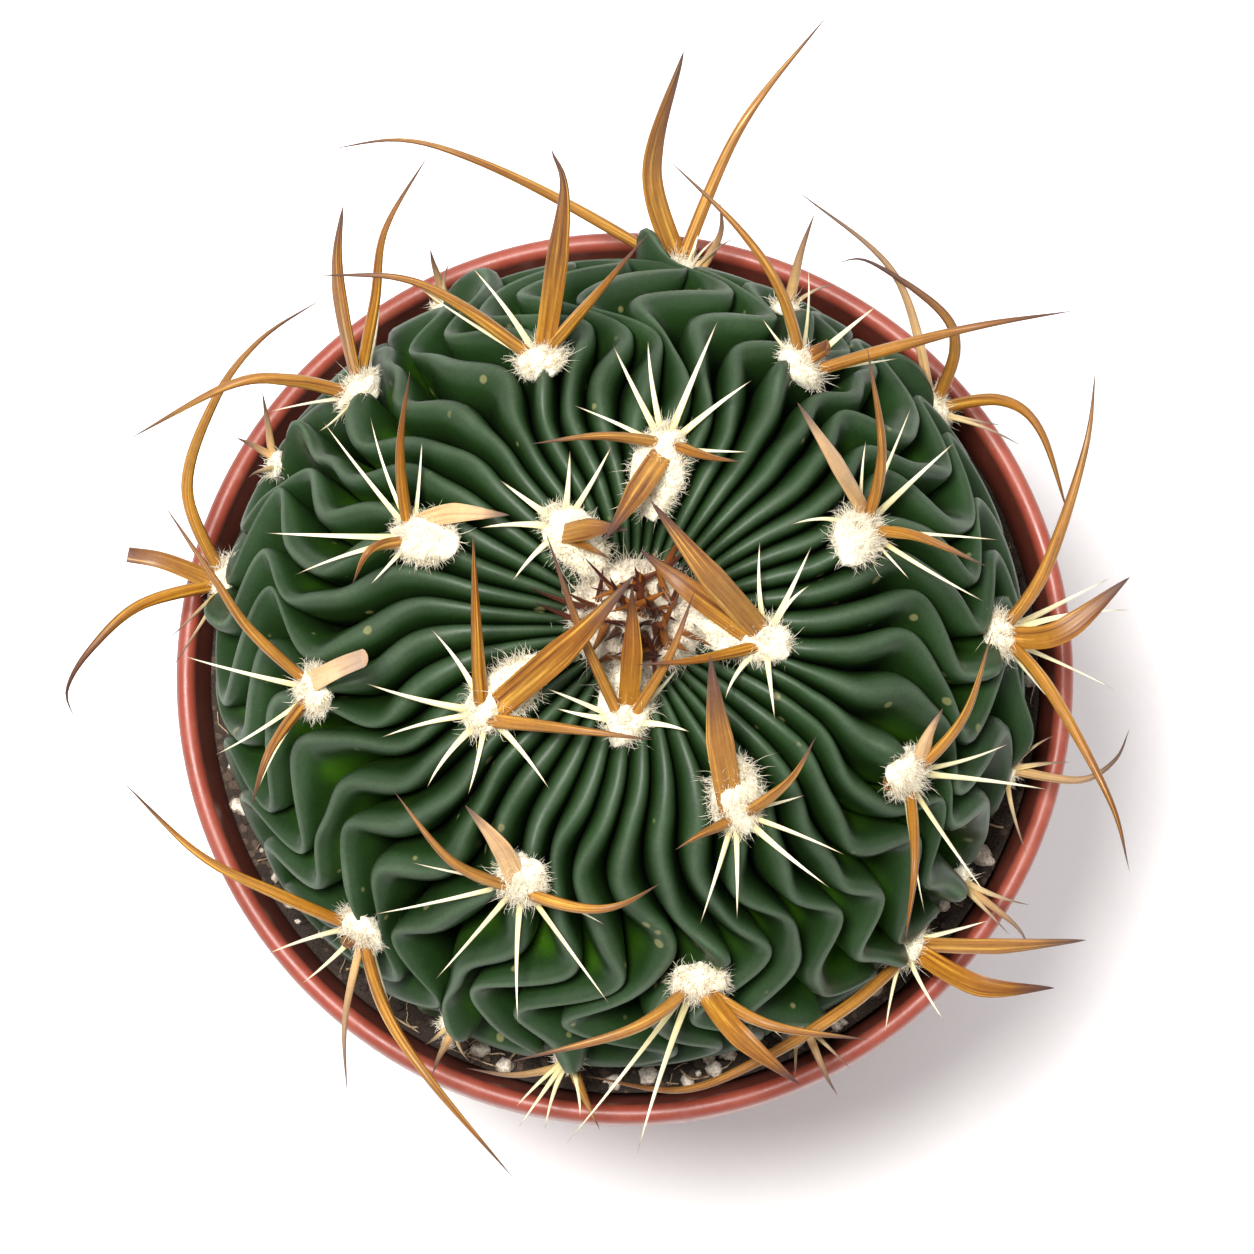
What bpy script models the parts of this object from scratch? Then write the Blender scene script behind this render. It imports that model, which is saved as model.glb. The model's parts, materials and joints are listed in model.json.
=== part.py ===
"""A potted brain cactus: a low globe of many thin waved ribs, with woolly areoles that carry
flat and round amber spines, standing in soil in a tapered nursery pot.
The origin is the middle of the pot's flat underside, +Z is up and the photograph's far side is +Y.
Sizes are in millimetres here and become metres where a mesh is made."""

import math
import random

import bmesh
import bpy
import numpy as np

# Pot
POT_HEIGHT = 75.0
RIM_RADIUS = 42.5
BASE_RADIUS = 30.0
WALL = 1.2
LIP_WIDTH = 1.9
LIP_HEIGHT = 7.0
LIP_STEP = 0.9
FLOOR = 1.6
POT_SIDES = 40
DRAIN_HOLES = 6
DRAIN_RADIUS = 3.0
DRAIN_RING = 20.0

# Soil
SOIL_TOP = 70.5
SOIL_BUMP = 0.9
SOIL_SIDES = 36
SOIL_HOLE = 36.0
FOOT_ROOM = 0.7
CLEAR = 0.3
WELD = 0.001
NECK_RADIUS = 4.5
NECK_TOP = 60.0
NECK_BOTTOM = 46.0

# Stem: the line that the rib crests follow, as (radius, height) from the crown to the root
CREST = [
    (0, 103.6), (4.5, 104.6), (9.5, 107.2), (14.5, 108.0), (20, 106.9), (26, 103.4),
    (31.5, 97.8), (35.6, 91.0), (37.7, 84.0), (37.6, 77.5), (35.4, 71.5), (31.5, 67.0),
    (26, 64.2), (19, 62.6), (12, 61.9), (7.5, 61.0),
]
RIBS = 44
STEM_CENTRE = (-0.4, 0.4)
CROWN_LEAN = (1.8, 1.3)
EQUATOR = 81.0
CROWN_RISE = 27.0
# Along the crest line, in mm from the crown: rib depth, crest half width in ribs, wave height
DEPTH_AT = ([0, 5, 10, 16, 25, 35, 46, 56, 64, 72, 80],
            [0, 0.5, 1.3, 2.6, 4.8, 7.0, 8.5, 8.0, 6.0, 2.0, 0])
CREST_WIDTH_AT = ([0, 10, 20, 30, 40, 50, 70], [0.30, 0.30, 0.27, 0.20, 0.15, 0.13, 0.2])
WAVE_AT = ([6, 14, 24, 34, 44, 60, 70], [0, 0.3, 1.2, 2.6, 3.6, 3.2, 0])
RUFFLE_AT = ([18, 38, 60, 68], [0, 1, 1, 0])
RUFFLES = ((9.0, 0.85),)
ROOT_SHARE = 0.4
LAST_RIB_ROW = 78.0

# How the photograph was read: its middle lies over VIEW_POINT at rim height
PHOTO_MIDDLE = (627, 627)
PHOTO_SCALE = 10.57
VIEW_POINT = (0.2, 4.4)
VIEW_TILT = math.radians(7)
VIEW_DISTANCE = 600.0

# Areoles: place in the photograph in pixels, wool towards the crown in mm, spines and radial tips.
# A spine is (kind, width in mm, rise of its tip, arch, its points in pixels from root to tip).
AREOLES = [
    ((628, 243), 1, [
        ("round", 1.3, 7, 3, [(612, 245), (560, 200), (470, 158), (400, 140), (325, 150)]),
        ("flat", 2.7, 16, 1, [(635, 240), (650, 170), (684, 50)]),
        ("round", 1.4, 13, 1, [(652, 243), (740, 128), (830, 12)])],
        [(700, 224), (716, 238), (702, 256)]),
    ((358, 390), 1, [
        ("flat", 2.2, 13, 1, [(355, 380), (345, 320), (338, 260), (343, 205)]),
        ("round", 1.3, 13, 2, [(368, 380), (375, 300), (385, 230), (430, 152)]),
        ("round", 1.4, 4, 4, [(348, 392), (290, 380), (230, 385), (127, 440)])],
        [(265, 413), (380, 300), (318, 432)]),
    ((541, 358), 1, [
        ("flat", 2.4, 18, 1, [(545, 350), (565, 200), (551, 148)]),
        ("round", 1.4, 10, 3, [(528, 350), (460, 305), (400, 278), (315, 275)]),
        ("round", 1.4, 10, 2, [(555, 345), (600, 290), (650, 232)])],
        [(415, 285), (470, 265), (572, 215)]),
    ((803, 365), 1, [
        ("round", 1.3, 13, 3, [(797, 355), (780, 290), (740, 230), (667, 158)]),
        ("stub", 2.2, 3, 0, [(808, 358), (828, 348)]),
        ("round", 1.4, 7, 3, [(818, 367), (960, 330), (1078, 310)])],
        [(762, 318), (768, 265), (808, 265), (878, 305), (900, 358)]),
    ((948, 395), 0, [
        ("round", 1.3, 8, 3, [(952, 390), (955, 350), (940, 310), (870, 262), (835, 263)]),
        ("thin", 1.1, 9, 2, [(938, 385), (895, 275), (793, 187)]),
        ("round", 1.3, 2, 3, [(955, 400), (1000, 400), (1040, 430), (1070, 520)])],
        [(1020, 445), (1000, 425)]),
    ((1003, 635), 0, [
        ("round", 1.5, 8, 2, [(1010, 625), (1045, 570), (1085, 450), (1096, 367)]),
        ("flat", 2.2, 5, 2, [(1012, 635), (1060, 632), (1130, 577)]),
        ("round", 1.4, 2, 4, [(1010, 645), (1050, 690), (1110, 800), (1130, 873)])],
        [(1110, 578), (1115, 690), (1050, 700), (1040, 580), (1130, 610)]),
    ((865, 527), 4, [
        ("flat", 1.9, 13, 1, [(868, 515), (830, 455), (797, 402)]),
        ("round", 1.3, 14, 2, [(873, 515), (882, 450), (867, 345)]),
        ("round", 1.3, 6, 2, [(878, 533), (920, 537), (988, 567)])],
        [(866, 440), (912, 405), (955, 442), (1000, 540), (985, 602), (910, 580), (790, 525)]),
    ((665, 447), 5, [
        ("round", 1.2, 8, 2, [(658, 445), (600, 436), (530, 444)]),
        ("round", 1.2, 6, 1, [(680, 450), (710, 457), (742, 462)]),
        ("flat", 2.2, 11, 1, [(662, 460), (632, 500), (605, 540)])],
        [(573, 405), (613, 345), (648, 340), (718, 320), (752, 380), (750, 452)]),
    ((565, 527), 3, [
        ("flat", 2.0, 10, 1, [(562, 535), (600, 528), (628, 530)]),
        ("round", 1.2, 11, 1, [(566, 538), (590, 548), (612, 560)])],
        [(500, 480), (570, 450), (612, 445), (480, 528), (512, 582)]),
    ((765, 640), 4, [
        ("flat", 2.4, 15, 2, [(760, 632), (705, 570), (650, 500)]),
        ("flat", 2.2, 12, 2, [(748, 638), (690, 590), (640, 550)]),
        ("round", 1.2, 6, 1, [(752, 652), (695, 660), (635, 665)])],
        [(760, 540), (812, 545), (810, 585), (775, 720), (725, 700)]),
    ((625, 720), 3, [
        ("flat", 1.9, 13, 1, [(628, 708), (632, 650), (632, 585)]),
        ("round", 1.2, 12, 2, [(614, 710), (580, 630), (545, 530)]),
        ("round", 1.2, 10, 1, [(640, 712), (670, 655), (695, 590)])],
        [(545, 688), (555, 708), (680, 665), (690, 732)]),
    ((487, 712), 5, [
        ("flat", 2.6, 14, 2, [(507, 705), (575, 640), (635, 575)]),
        ("round", 1.5, 13, 1, [(483, 698), (476, 620), (473, 530)]),
        ("round", 1.4, 7, 2, [(498, 722), (560, 728), (655, 740)])],
        [(430, 628), (365, 683), (380, 738), (427, 788), (468, 795), (550, 790)]),
    ((412, 535), 4, [
        ("round", 1.3, 11, 1, [(405, 520), (400, 450), (410, 370)]),
        ("flat", 1.9, 7, 1, [(415, 530), (450, 514), (510, 515)]),
        ("round", 1.3, 3, 3, [(405, 543), (370, 550), (352, 585)])],
        [(322, 420), (370, 415), (422, 440), (265, 533), (295, 575), (370, 585)]),
    ((312, 690), 1, [
        ("round", 1.3, 9, 2, [(302, 680), (250, 630), (215, 580), (163, 503)]),
        ("stub", 2.2, 5, 0, [(318, 685), (340, 668), (365, 658)]),
        ("round", 1.3, 3, 3, [(302, 708), (270, 750), (250, 810)])],
        [(180, 655), (215, 755), (258, 790)]),
    ((207, 575), 0, [
        ("round", 1.4, 9, 3, [(205, 568), (187, 490), (215, 400), (260, 340), (325, 297)]),
        ("stub", 2.0, 3, 1, [(200, 580), (165, 562), (128, 555)]),
        ("round", 1.4, 1, 3, [(200, 583), (140, 605), (90, 650), (67, 690), (75, 720)])],
        [(168, 640), (172, 668)]),
    ((360, 930), 1, [
        ("round", 1.4, 4, 3, [(352, 922), (280, 895), (200, 855), (121, 780)]),
        ("stub", 1.6, 2, 0, [(356, 935), (345, 945)]),
        ("round", 1.4, 4, 4, [(368, 937), (385, 1010), (430, 1080), (515, 1180)]),
        ("thin", 0.9, 3, 1, [(362, 938), (345, 1020), (347, 1095)])],
        [(265, 955), (390, 1005), (300, 985)]),
    ((520, 885), 2, [
        ("round", 1.3, 9, 2, [(505, 886), (450, 860), (393, 790)]),
        ("flat", 1.9, 9, 1, [(525, 877), (500, 845), (465, 805)]),
        ("round", 1.4, 5, 3, [(532, 890), (580, 908), (620, 905), (663, 882)])],
        [(410, 862), (370, 915), (435, 980), (518, 1025), (610, 1005), (605, 925)]),
    ((697, 985), 1, [
        ("round", 1.4, 4, 3, [(686, 995), (630, 1030), (510, 1062)]),
        ("flat", 2.2, 4, 3, [(705, 993), (740, 1035), (800, 1085)]),
        ("round", 1.4, 2, 2, [(713, 990), (770, 1025), (870, 1040)])],
        [(565, 1145), (637, 1155), (785, 1040)]),
    ((913, 950), 0, [
        ("flat", 1.9, 5, 2, [(922, 946), (1000, 945), (1087, 940)]),
        ("flat", 2.2, 3, 2, [(922, 955), (980, 985), (1055, 988)]),
        ("round", 1.4, 3, 9, [(905, 958), (850, 1005), (760, 1060), (680, 1090), (580, 1075)])],
        [(945, 1022), (885, 1035), (990, 920)]),
    ((738, 812), 4, [
        ("flat", 2.5, 12, 1, [(727, 803), (718, 730), (710, 655)]),
        ("round", 1.3, 9, 2, [(750, 806), (790, 780), (817, 735)]),
        ("round", 1.2, 5, 1, [(728, 820), (700, 835), (675, 850)])],
        [(805, 795), (845, 855), (830, 888), (737, 920), (700, 925)]),
    ((910, 775), 2, [
        ("stub", 2.0, 2, 0, [(905, 778), (885, 782)]),
        ("flat", 1.6, 6, 1, [(917, 770), (925, 740), (943, 708)]),
        ("round", 1.3, 10, 2, [(925, 768), (965, 715), (993, 630)]),
        ("round", 1.2, 2, 3, [(912, 788), (915, 860), (905, 945)])],
        [(1010, 743), (1050, 790), (990, 900), (925, 915)]),
    ((568, 1072), 0, [
        ("round", 1.1, 3, 1, [(572, 1082), (588, 1105), (600, 1130)]),
        ("thin", 0.9, 3, 1, [(560, 1075), (515, 1075), (465, 1068)])],
        [(515, 1108), (518, 1128), (545, 1130), (580, 1118)]),
    ((1033, 778), 0, [
        ("thin", 1.0, 3, 1, [(1037, 778), (1080, 780), (1115, 760), (1130, 728)])],
        [(1055, 735), (1070, 762), (1027, 855)]),
    ((996, 905), 0, [
        ("thin", 0.9, 3, 1, [(998, 908), (1015, 925), (1030, 950)])],
        [(1030, 905), (1010, 935)]),
    ((718, 268), 0, [("thin", 1.0, 6, 0, [(718, 262), (720, 235), (720, 200)])], [(738, 235), (700, 240)]),
    ((788, 305), 0, [("thin", 1.1, 6, 0, [(790, 298), (800, 255), (815, 212)])], [(835, 285)]),
    ((436, 290), 0, [("thin", 1.0, 5, 0, [(438, 284), (434, 265), (430, 248)])], [(450, 262), (412, 275)]),
    ((275, 460), 0, [
        ("thin", 0.9, 4, 0, [(273, 455), (268, 425), (262, 390)]),
        ("thin", 0.9, 3, 0, [(268, 455), (252, 445), (235, 437)])],
        [(248, 478)]),
    ((452, 1030), 0, [("thin", 0.9, 2, 0, [(450, 1036), (440, 1055), (432, 1075)])], [(470, 1062), (425, 1045)]),
    ((812, 1052), 0, [("thin", 0.9, 2, 0, [(815, 1058), (826, 1075), (838, 1096)])], [(850, 1068), (795, 1080)]),
]
PAD_HALF = (1.9, 2.0, 1.3)
PAD_LIFT = 0.35
PAD_SIDES = 6
PAD_REACH = 4.3
ROOT_SPREAD = 0.9
FLAT_THICK = 0.8
# A blade's flat face looks along its areole's outward direction plus this much of straight up
FACE_UP = 1.2
ROUND_GROW = 1.15

# Seats cut from the stem: how far along a spine, how much wider than it, and small steps in size
# that keep the faces of two seats from falling together
FOOT_REACH = 5.6
FLAT_SEAT = (1.0, 0.84)
RADIAL_SEAT = 1.0
STUB_OVER = 0.25
SEAT_MORE = 0.04
SEAT_TURN = 0.02
SEAT_STEP = 0.017
SEAT_STEPS = 7

# Spine solids, and the tries to join them to their pad
LONG_SPINE = 22.0
JOIN_TRIES = 8
JOIN_TURN = 0.03
JOIN_SHRINK = 0.01
RADIAL_WIDTH = 0.8
RADIAL_LIFT = 0.24

# Crown: a wool mat with young dark spines
CROWN_MAT = (6.6, 5.8, 2.6)
CROWN_MAT_HEIGHT = 104.8
CROWN_SPINES = 20
CROWN_SEED = 7
CROWN_LONG = (6.5, 10.5)
CROWN_WIDTH = 1.0

# Room between spines of two areoles, and over the ribs
SPINE_ROOM = 0.4
OWN_ROOM = 0.15
RIB_ROOM = 0.55
PAD_ROOM = 0.4
MOST_TRIES = 26
TRY_STEP = 0.7


def start_empty():
    for thing in list(bpy.data.objects):
        bpy.data.objects.remove(thing, do_unlink=True)


def material(name, colour, roughness):
    made = bpy.data.materials.new(name)
    made.use_nodes = True
    shader = made.node_tree.nodes["Principled BSDF"]
    shader.inputs["Base Color"].default_value = (*colour, 1)
    shader.inputs["Roughness"].default_value = roughness
    shader.inputs["Metallic"].default_value = 0
    return made


def mesh_object(name, points, faces, finish=None, smooth=40):
    mesh = bpy.data.meshes.new(name)
    mesh.from_pydata([tuple(float(c) * 0.001 for c in p) for p in points], [], faces)
    mesh.validate()
    if finish:
        mesh.materials.append(finish)
    mesh.shade_smooth()
    mesh.set_sharp_from_angle(angle=math.radians(smooth))
    made = bpy.data.objects.new(name, mesh)
    bpy.context.scene.collection.objects.link(made)
    return made


def lathe(profile, sides, bumps=None):
    """Points and faces of a profile turned round. Each row is radius, height and, where its ring
    isn't centred on the pot, the ring's centre. Radius 0 closes an end."""
    points, rings = [], []
    for row, (radius, height, *centre) in enumerate(profile):
        middle = centre[0] if centre else (0, 0)
        if radius == 0:
            rings.append([len(points)] * sides)
            points.append((middle[0], middle[1], height))
            continue
        rings.append(list(range(len(points), len(points) + sides)))
        for k in range(sides):
            turn = 2 * math.pi * k / sides
            up = bumps[row][k] if bumps and row in bumps else 0
            across, ahead = radius * math.cos(turn), radius * math.sin(turn)
            points.append((middle[0] + across, middle[1] + ahead, height + up))
    faces = []
    for low, high in zip(rings, rings[1:]):
        for k in range(sides):
            n = (k + 1) % sides
            face = [low[k], low[n], high[n], high[k]]
            faces.append([v for i, v in enumerate(face) if v != face[i - 1]])
    return points, faces


def apply_boolean(target, cutters, operation, solver="EXACT"):
    """One Boolean of a collection of cutters, applied, with the cutters removed."""
    group = bpy.data.collections.new("tools")
    bpy.context.scene.collection.children.link(group)
    for cutter in cutters:
        group.objects.link(cutter)
    step = target.modifiers.new("join", "BOOLEAN")
    step.operation = operation
    step.solver = solver
    step.operand_type = "COLLECTION"
    step.collection = group
    graph = bpy.context.evaluated_depsgraph_get()
    result = bpy.data.meshes.new_from_object(target.evaluated_get(graph))
    target.modifiers.clear()
    target.data = result
    for cutter in cutters:
        bpy.data.objects.remove(cutter, do_unlink=True)
    bpy.data.collections.remove(group)


def keep_largest_body(target):
    """Drops any loose scrap that a cut or a join left: a body is the faces joined by edges of two faces."""
    work = bmesh.new()
    work.from_mesh(target.data)
    left, bodies = set(work.faces), []
    while left:
        stack, body = [left.pop()], []
        while stack:
            face = stack.pop()
            body.append(face)
            clean = [edge for edge in face.edges if len(edge.link_faces) == 2]
            for other in {f for edge in clean for f in edge.link_faces} & left:
                left.remove(other)
                stack.append(other)
        bodies.append(body)
    bodies.sort(key=len)
    for body in bodies[:-1]:
        bmesh.ops.delete(work, geom=body, context="FACES")
    bmesh.ops.triangulate(work, faces=work.faces)
    work.to_mesh(target.data)
    work.free()
    if len(bodies) > 1:
        print(target.name, "lost", len(bodies) - 1, "scraps, the largest of", len(bodies[-2]), "faces")


# The crest line as a smooth curve
def smooth_through(points, count):
    """A Catmull-Rom curve through points, at count even steps of its length."""
    p = np.array(points, float)
    p = np.vstack([2 * p[0] - p[1], p, 2 * p[-1] - p[-2]])
    rows = []
    for k in range(1, len(p) - 2):
        for t in np.linspace(0, 1, 24, endpoint=False):
            a = 2 * p[k]
            b = p[k + 1] - p[k - 1]
            c = 2 * p[k - 1] - 5 * p[k] + 4 * p[k + 1] - p[k + 2]
            d = 3 * p[k] - p[k - 1] - 3 * p[k + 1] + p[k + 2]
            rows.append(0.5 * (a + b * t + c * t**2 + d * t**3))
    rows.append(p[-2])
    rows = np.array(rows)
    length = np.concatenate([[0], np.cumsum(np.linalg.norm(np.diff(rows, axis=0), axis=1))])
    even = np.linspace(0, length[-1], count)
    return even, np.stack([np.interp(even, length, rows[:, k]) for k in range(rows.shape[1])], 1)


CREST_AT, CREST_LINE = smooth_through(CREST, 360)
_along = np.gradient(CREST_LINE, axis=0)
_along /= np.linalg.norm(_along, axis=1)[:, None]
CREST_NORMAL = np.stack([-_along[:, 1], _along[:, 0]], 1)
WIDEST = int(np.argmax(CREST_LINE[:, 0]))


def crest_at(length):
    """Radius, height and outward normal of the crest line at a length from the crown."""
    return [np.interp(length, CREST_AT, column) for column in (*CREST_LINE.T, *CREST_NORMAL.T)]


def stem_centre(height):
    share = np.clip((np.asarray(height, float) - EQUATOR) / CROWN_RISE, 0, 1) ** 2
    return STEM_CENTRE[0] + CROWN_LEAN[0] * share, STEM_CENTRE[1] + CROWN_LEAN[1] * share


def over_pot(pixel, height):
    """The point at that height which the photograph shows at that pixel."""
    right = (pixel[0] - PHOTO_MIDDLE[0]) / PHOTO_SCALE
    up = (PHOTO_MIDDLE[1] - pixel[1]) / PHOTO_SCALE
    sine, cosine = math.cos(VIEW_TILT), math.sin(VIEW_TILT)
    eye = np.array([VIEW_POINT[0], VIEW_POINT[1] - VIEW_DISTANCE * cosine, POT_HEIGHT + VIEW_DISTANCE * sine])
    seen = np.array([VIEW_POINT[0] + right, VIEW_POINT[1] + up * sine, POT_HEIGHT + up * cosine])
    share = (height - eye[2]) / (seen[2] - eye[2])
    return eye + share * (seen - eye)


# Waves of the ribs: x counts ribs round the stem and may lie between two
RUFFLE_PHASES = np.random.default_rng(11).uniform(0, 2 * math.pi, (len(RUFFLES), RIBS))


def wave(x, length):
    """Sideways shift of the rib crests in mm."""
    turn = 2 * math.pi * np.asarray(x, float) / RIBS
    phase = 1.7 * np.sin(2 * turn + 0.7) + 0.9 * np.sin(5 * turn + 2.1)
    strength = np.interp(length, *WAVE_AT) * (1 + 0.3 * np.sin(4 * turn + 1.0))
    turns = length / 34 + length**2 / 3000
    low = np.floor(x).astype(int) % RIBS
    share = np.asarray(x, float) - np.floor(x)
    share = share * share * (3 - 2 * share)
    ruffle = 0
    for (long, height), phases in zip(RUFFLES, RUFFLE_PHASES):
        sides = [np.sin(2 * math.pi * length / long + phases[k % RIBS]) for k in (low, low + 1)]
        ruffle = ruffle + height * (sides[0] * (1 - share) + sides[1] * share)
    return strength * np.sin(2 * math.pi * turns + phase) + np.interp(length, *RUFFLE_AT) * ruffle


def rib_pitch(length):
    """Ribs per mm round the stem."""
    return RIBS / (2 * math.pi * np.maximum(crest_at(length)[0], 1))


def round_gap(a, b):
    """Ribs from b to a the short way round."""
    return (np.asarray(a, float) - b + RIBS / 2) % RIBS - RIBS / 2


def find_areoles():
    """For each areole its rib, its length from the crown, and how far its rib is pulled to pass it."""
    found = []
    upper_r, upper_l = CREST_LINE[: WIDEST + 1, 0], CREST_AT[: WIDEST + 1]
    for pixel, wool, spines, tips in AREOLES:
        height = 95.0
        for _ in range(40):
            place = over_pot(pixel, height)
            centre = stem_centre(height)
            radius = math.hypot(place[0] - centre[0], place[1] - centre[1])
            length = float(np.interp(radius, upper_r, upper_l))
            height = 0.5 * height + 0.5 * float(crest_at(length)[1])
        turn = math.atan2(place[1] - centre[1], place[0] - centre[0])
        x = turn * RIBS / (2 * math.pi) % RIBS
        ribs = np.arange(RIBS)
        gaps = round_gap(x, ribs + wave(ribs, length) * rib_pitch(length))
        rib = int(np.argmin(abs(gaps)))
        found.append((rib, length, float(gaps[rib])))
    return found


FOUND = find_areoles()


def pull(x, length):
    """Shift in ribs that leads the ribs through the areoles."""
    total = 0 * np.asarray(x, float)
    for rib, at, gap in FOUND:
        total = total + gap * np.exp(-((round_gap(x, rib) / 1.3) ** 2) - ((length - at) / 6) ** 2)
    return total


def crest_bump(x, length):
    """A peak on the crown side of each areole and a dip beyond it."""
    total = 0 * np.asarray(x, float)
    for rib, at, _ in FOUND:
        near = np.exp(-((round_gap(x, rib) / 0.45) ** 4))
        peak = 1.5 * np.exp(-(((length - at + 3.6) / 2.2) ** 2))
        dip = 1.1 * np.exp(-(((length - at - 1.2) / 2.2) ** 2))
        total = total + near * (peak - dip) * np.interp(at, [10, 24], [0.3, 1])
    return total


def stem_point(x, length, share):
    """A point of the stem: share is 0 in a groove and 1 on a crest."""
    radius, height, out, up = crest_at(length)
    lift = (share - 1) * np.interp(length, *DEPTH_AT) + crest_bump(x, length) * share
    lean = ROOT_SHARE + (1 - ROOT_SHARE) * share
    turn = 2 * math.pi * (x + wave(x, length) * lean * rib_pitch(length) + pull(x, length)) / RIBS
    radius, height = radius + out * lift, height + up * lift
    centre = stem_centre(height)
    x, y = centre[0] + radius * np.cos(turn), centre[1] + radius * np.sin(turn)
    return np.stack([x, y, height + 0 * turn], -1)


def stem_rows():
    """Lengths from the crown: closer where the waves are short."""
    rows, at = [], 5.0
    while at < LAST_RIB_ROW:
        rows.append(at)
        at += float(np.interp(at, [5, 14, 22, 34, 58, 64, 78], [4.2, 3.9, 3.3, 2.68, 2.68, 6, 8]))
    return rows


def make_stem(finish):
    columns = [(-1, 1.0), (1, 1.0), (0, 0.0)]
    rows = stem_rows()
    points, rings = [], []
    for length in rows:
        ring = []
        steep = abs(wave(np.arange(RIBS), length + 0.5) - wave(np.arange(RIBS), length - 0.5))
        half = np.interp(length, *CREST_WIDTH_AT) * np.minimum(np.sqrt(1 + steep**2), 1.8)
        for rib in range(RIBS):
            for side, share in columns:
                x = rib + (side * half[rib] if share else 0.5)
                ring.append(len(points))
                points.append(stem_point(np.array(x), length, share))
        rings.append(ring)
    around = len(rings[0])
    faces = []
    for high, low in zip(rings, rings[1:]):
        for k in range(around):
            n = (k + 1) % around
            faces.append([high[k], low[k], low[n]])
            faces.append([high[k], low[n], high[n]])
    top = len(points)
    points.append(stem_point(np.array(0.0), 0.0, 1.0) * [0, 0, 1] + [*stem_centre(103.6), 0])
    neck_start = len(points)
    for radius, height in ((NECK_RADIUS, NECK_TOP), (NECK_RADIUS * 0.8, NECK_BOTTOM)):
        for k in range(12):
            turn = 2 * math.pi * k / 12
            across, ahead = radius * math.cos(turn), radius * math.sin(turn)
            points.append((STEM_CENTRE[0] + across, STEM_CENTRE[1] + ahead, height))
    for k in range(around):
        n = (k + 1) % around
        faces.append([rings[0][n], top, rings[0][k]])
    faces += neck_faces(rings[-1], neck_start, 12)
    return mesh_object("stem", points, faces, finish)


def neck_faces(ring, start, sides):
    """Joins the stem's last ring to the root neck, and closes the neck."""
    faces, around = [], len(ring)
    step = around // sides
    for k in range(sides):
        n = (k + 1) % sides
        first, last = k * step, (k + 1) * step
        for j in range(first, last):
            faces.append([ring[j], start + k, ring[(j + 1) % around]])
        faces.append([ring[last % around], start + k, start + n])
        faces.append([start + k, start + sides + k, start + sides + n])
        faces.append([start + k, start + sides + n, start + n])
    faces.append([start + sides + k for k in reversed(range(sides))])
    return faces



# Pot and soil
def wall_radius(height):
    """Outer radius of the pot's wall."""
    return BASE_RADIUS + (RIM_RADIUS - LIP_STEP - BASE_RADIUS) * height / POT_HEIGHT


def make_pot(finish):
    lip_bottom = POT_HEIGHT - LIP_HEIGHT
    inner_top = RIM_RADIUS - LIP_WIDTH
    profile = [
        (0, 0), (BASE_RADIUS - 1.2, 0), (BASE_RADIUS, 1.0),
        (wall_radius(lip_bottom), lip_bottom), (RIM_RADIUS - 0.2, lip_bottom + 0.5),
        (RIM_RADIUS, POT_HEIGHT - 0.6), (RIM_RADIUS - 0.5, POT_HEIGHT),
        (inner_top + 0.4, POT_HEIGHT), (inner_top, POT_HEIGHT - 0.5),
        (wall_radius(lip_bottom) - WALL, lip_bottom - 1), (wall_radius(FLOOR) - WALL, FLOOR), (0, FLOOR),
    ]
    pot = mesh_object("pot", *lathe(profile, POT_SIDES), finish)
    drills = []
    for k in range(DRAIN_HOLES):
        turn = 2 * math.pi * (k + 0.5) / DRAIN_HOLES
        drill = mesh_object(f"drill{k}", *lathe([(0, -2), (DRAIN_RADIUS, -2), (DRAIN_RADIUS, 4), (0, 4)], 8))
        drill.location = (DRAIN_RING * math.cos(turn) * 0.001, DRAIN_RING * math.sin(turn) * 0.001, 0)
        drills.append(drill)
    apply_boolean(pot, drills, "DIFFERENCE")
    return pot


def make_soil(finish):
    """The soil plug: bumpy on top, with a plain hole that the stem's foot and root neck stand in."""
    floor = FLOOR + CLEAR
    lip_bottom = POT_HEIGHT - LIP_HEIGHT - 1
    foot = []
    for length in (62.0, 66.0, 71.0, 76.0, 82.0):
        radius, height, out, up = crest_at(length)
        foot.append((float(radius + FOOT_ROOM * out), float(height + FOOT_ROOM * up), STEM_CENTRE))
    foot = [row for row in foot if row[1] < SOIL_TOP - 0.5]
    edge = wall_radius(SOIL_TOP) - WALL - CLEAR
    profile = [
        (0, floor), (wall_radius(floor) - WALL - CLEAR - 0.1, floor),
        (wall_radius(lip_bottom) - WALL - CLEAR, lip_bottom - 0.6), (edge, SOIL_TOP),
        (edge - 1.3, SOIL_TOP), (SOIL_HOLE + 1.0, SOIL_TOP, STEM_CENTRE),
        (SOIL_HOLE, SOIL_TOP - 0.2, STEM_CENTRE),
        *foot, (NECK_RADIUS + 0.5, NECK_TOP - FOOT_ROOM, STEM_CENTRE),
        (NECK_RADIUS + 0.5, NECK_BOTTOM - 0.6, STEM_CENTRE), (0, NECK_BOTTOM - 0.6, STEM_CENTRE),
    ]
    draw = np.random.default_rng(5)
    bumps = {row: draw.uniform(-SOIL_BUMP, SOIL_BUMP, SOIL_SIDES) for row in (4, 5)}
    bumps[3] = draw.uniform(-0.4, 0, SOIL_SIDES)
    return mesh_object("soil", *lathe(profile, SOIL_SIDES, bumps), finish)


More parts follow.
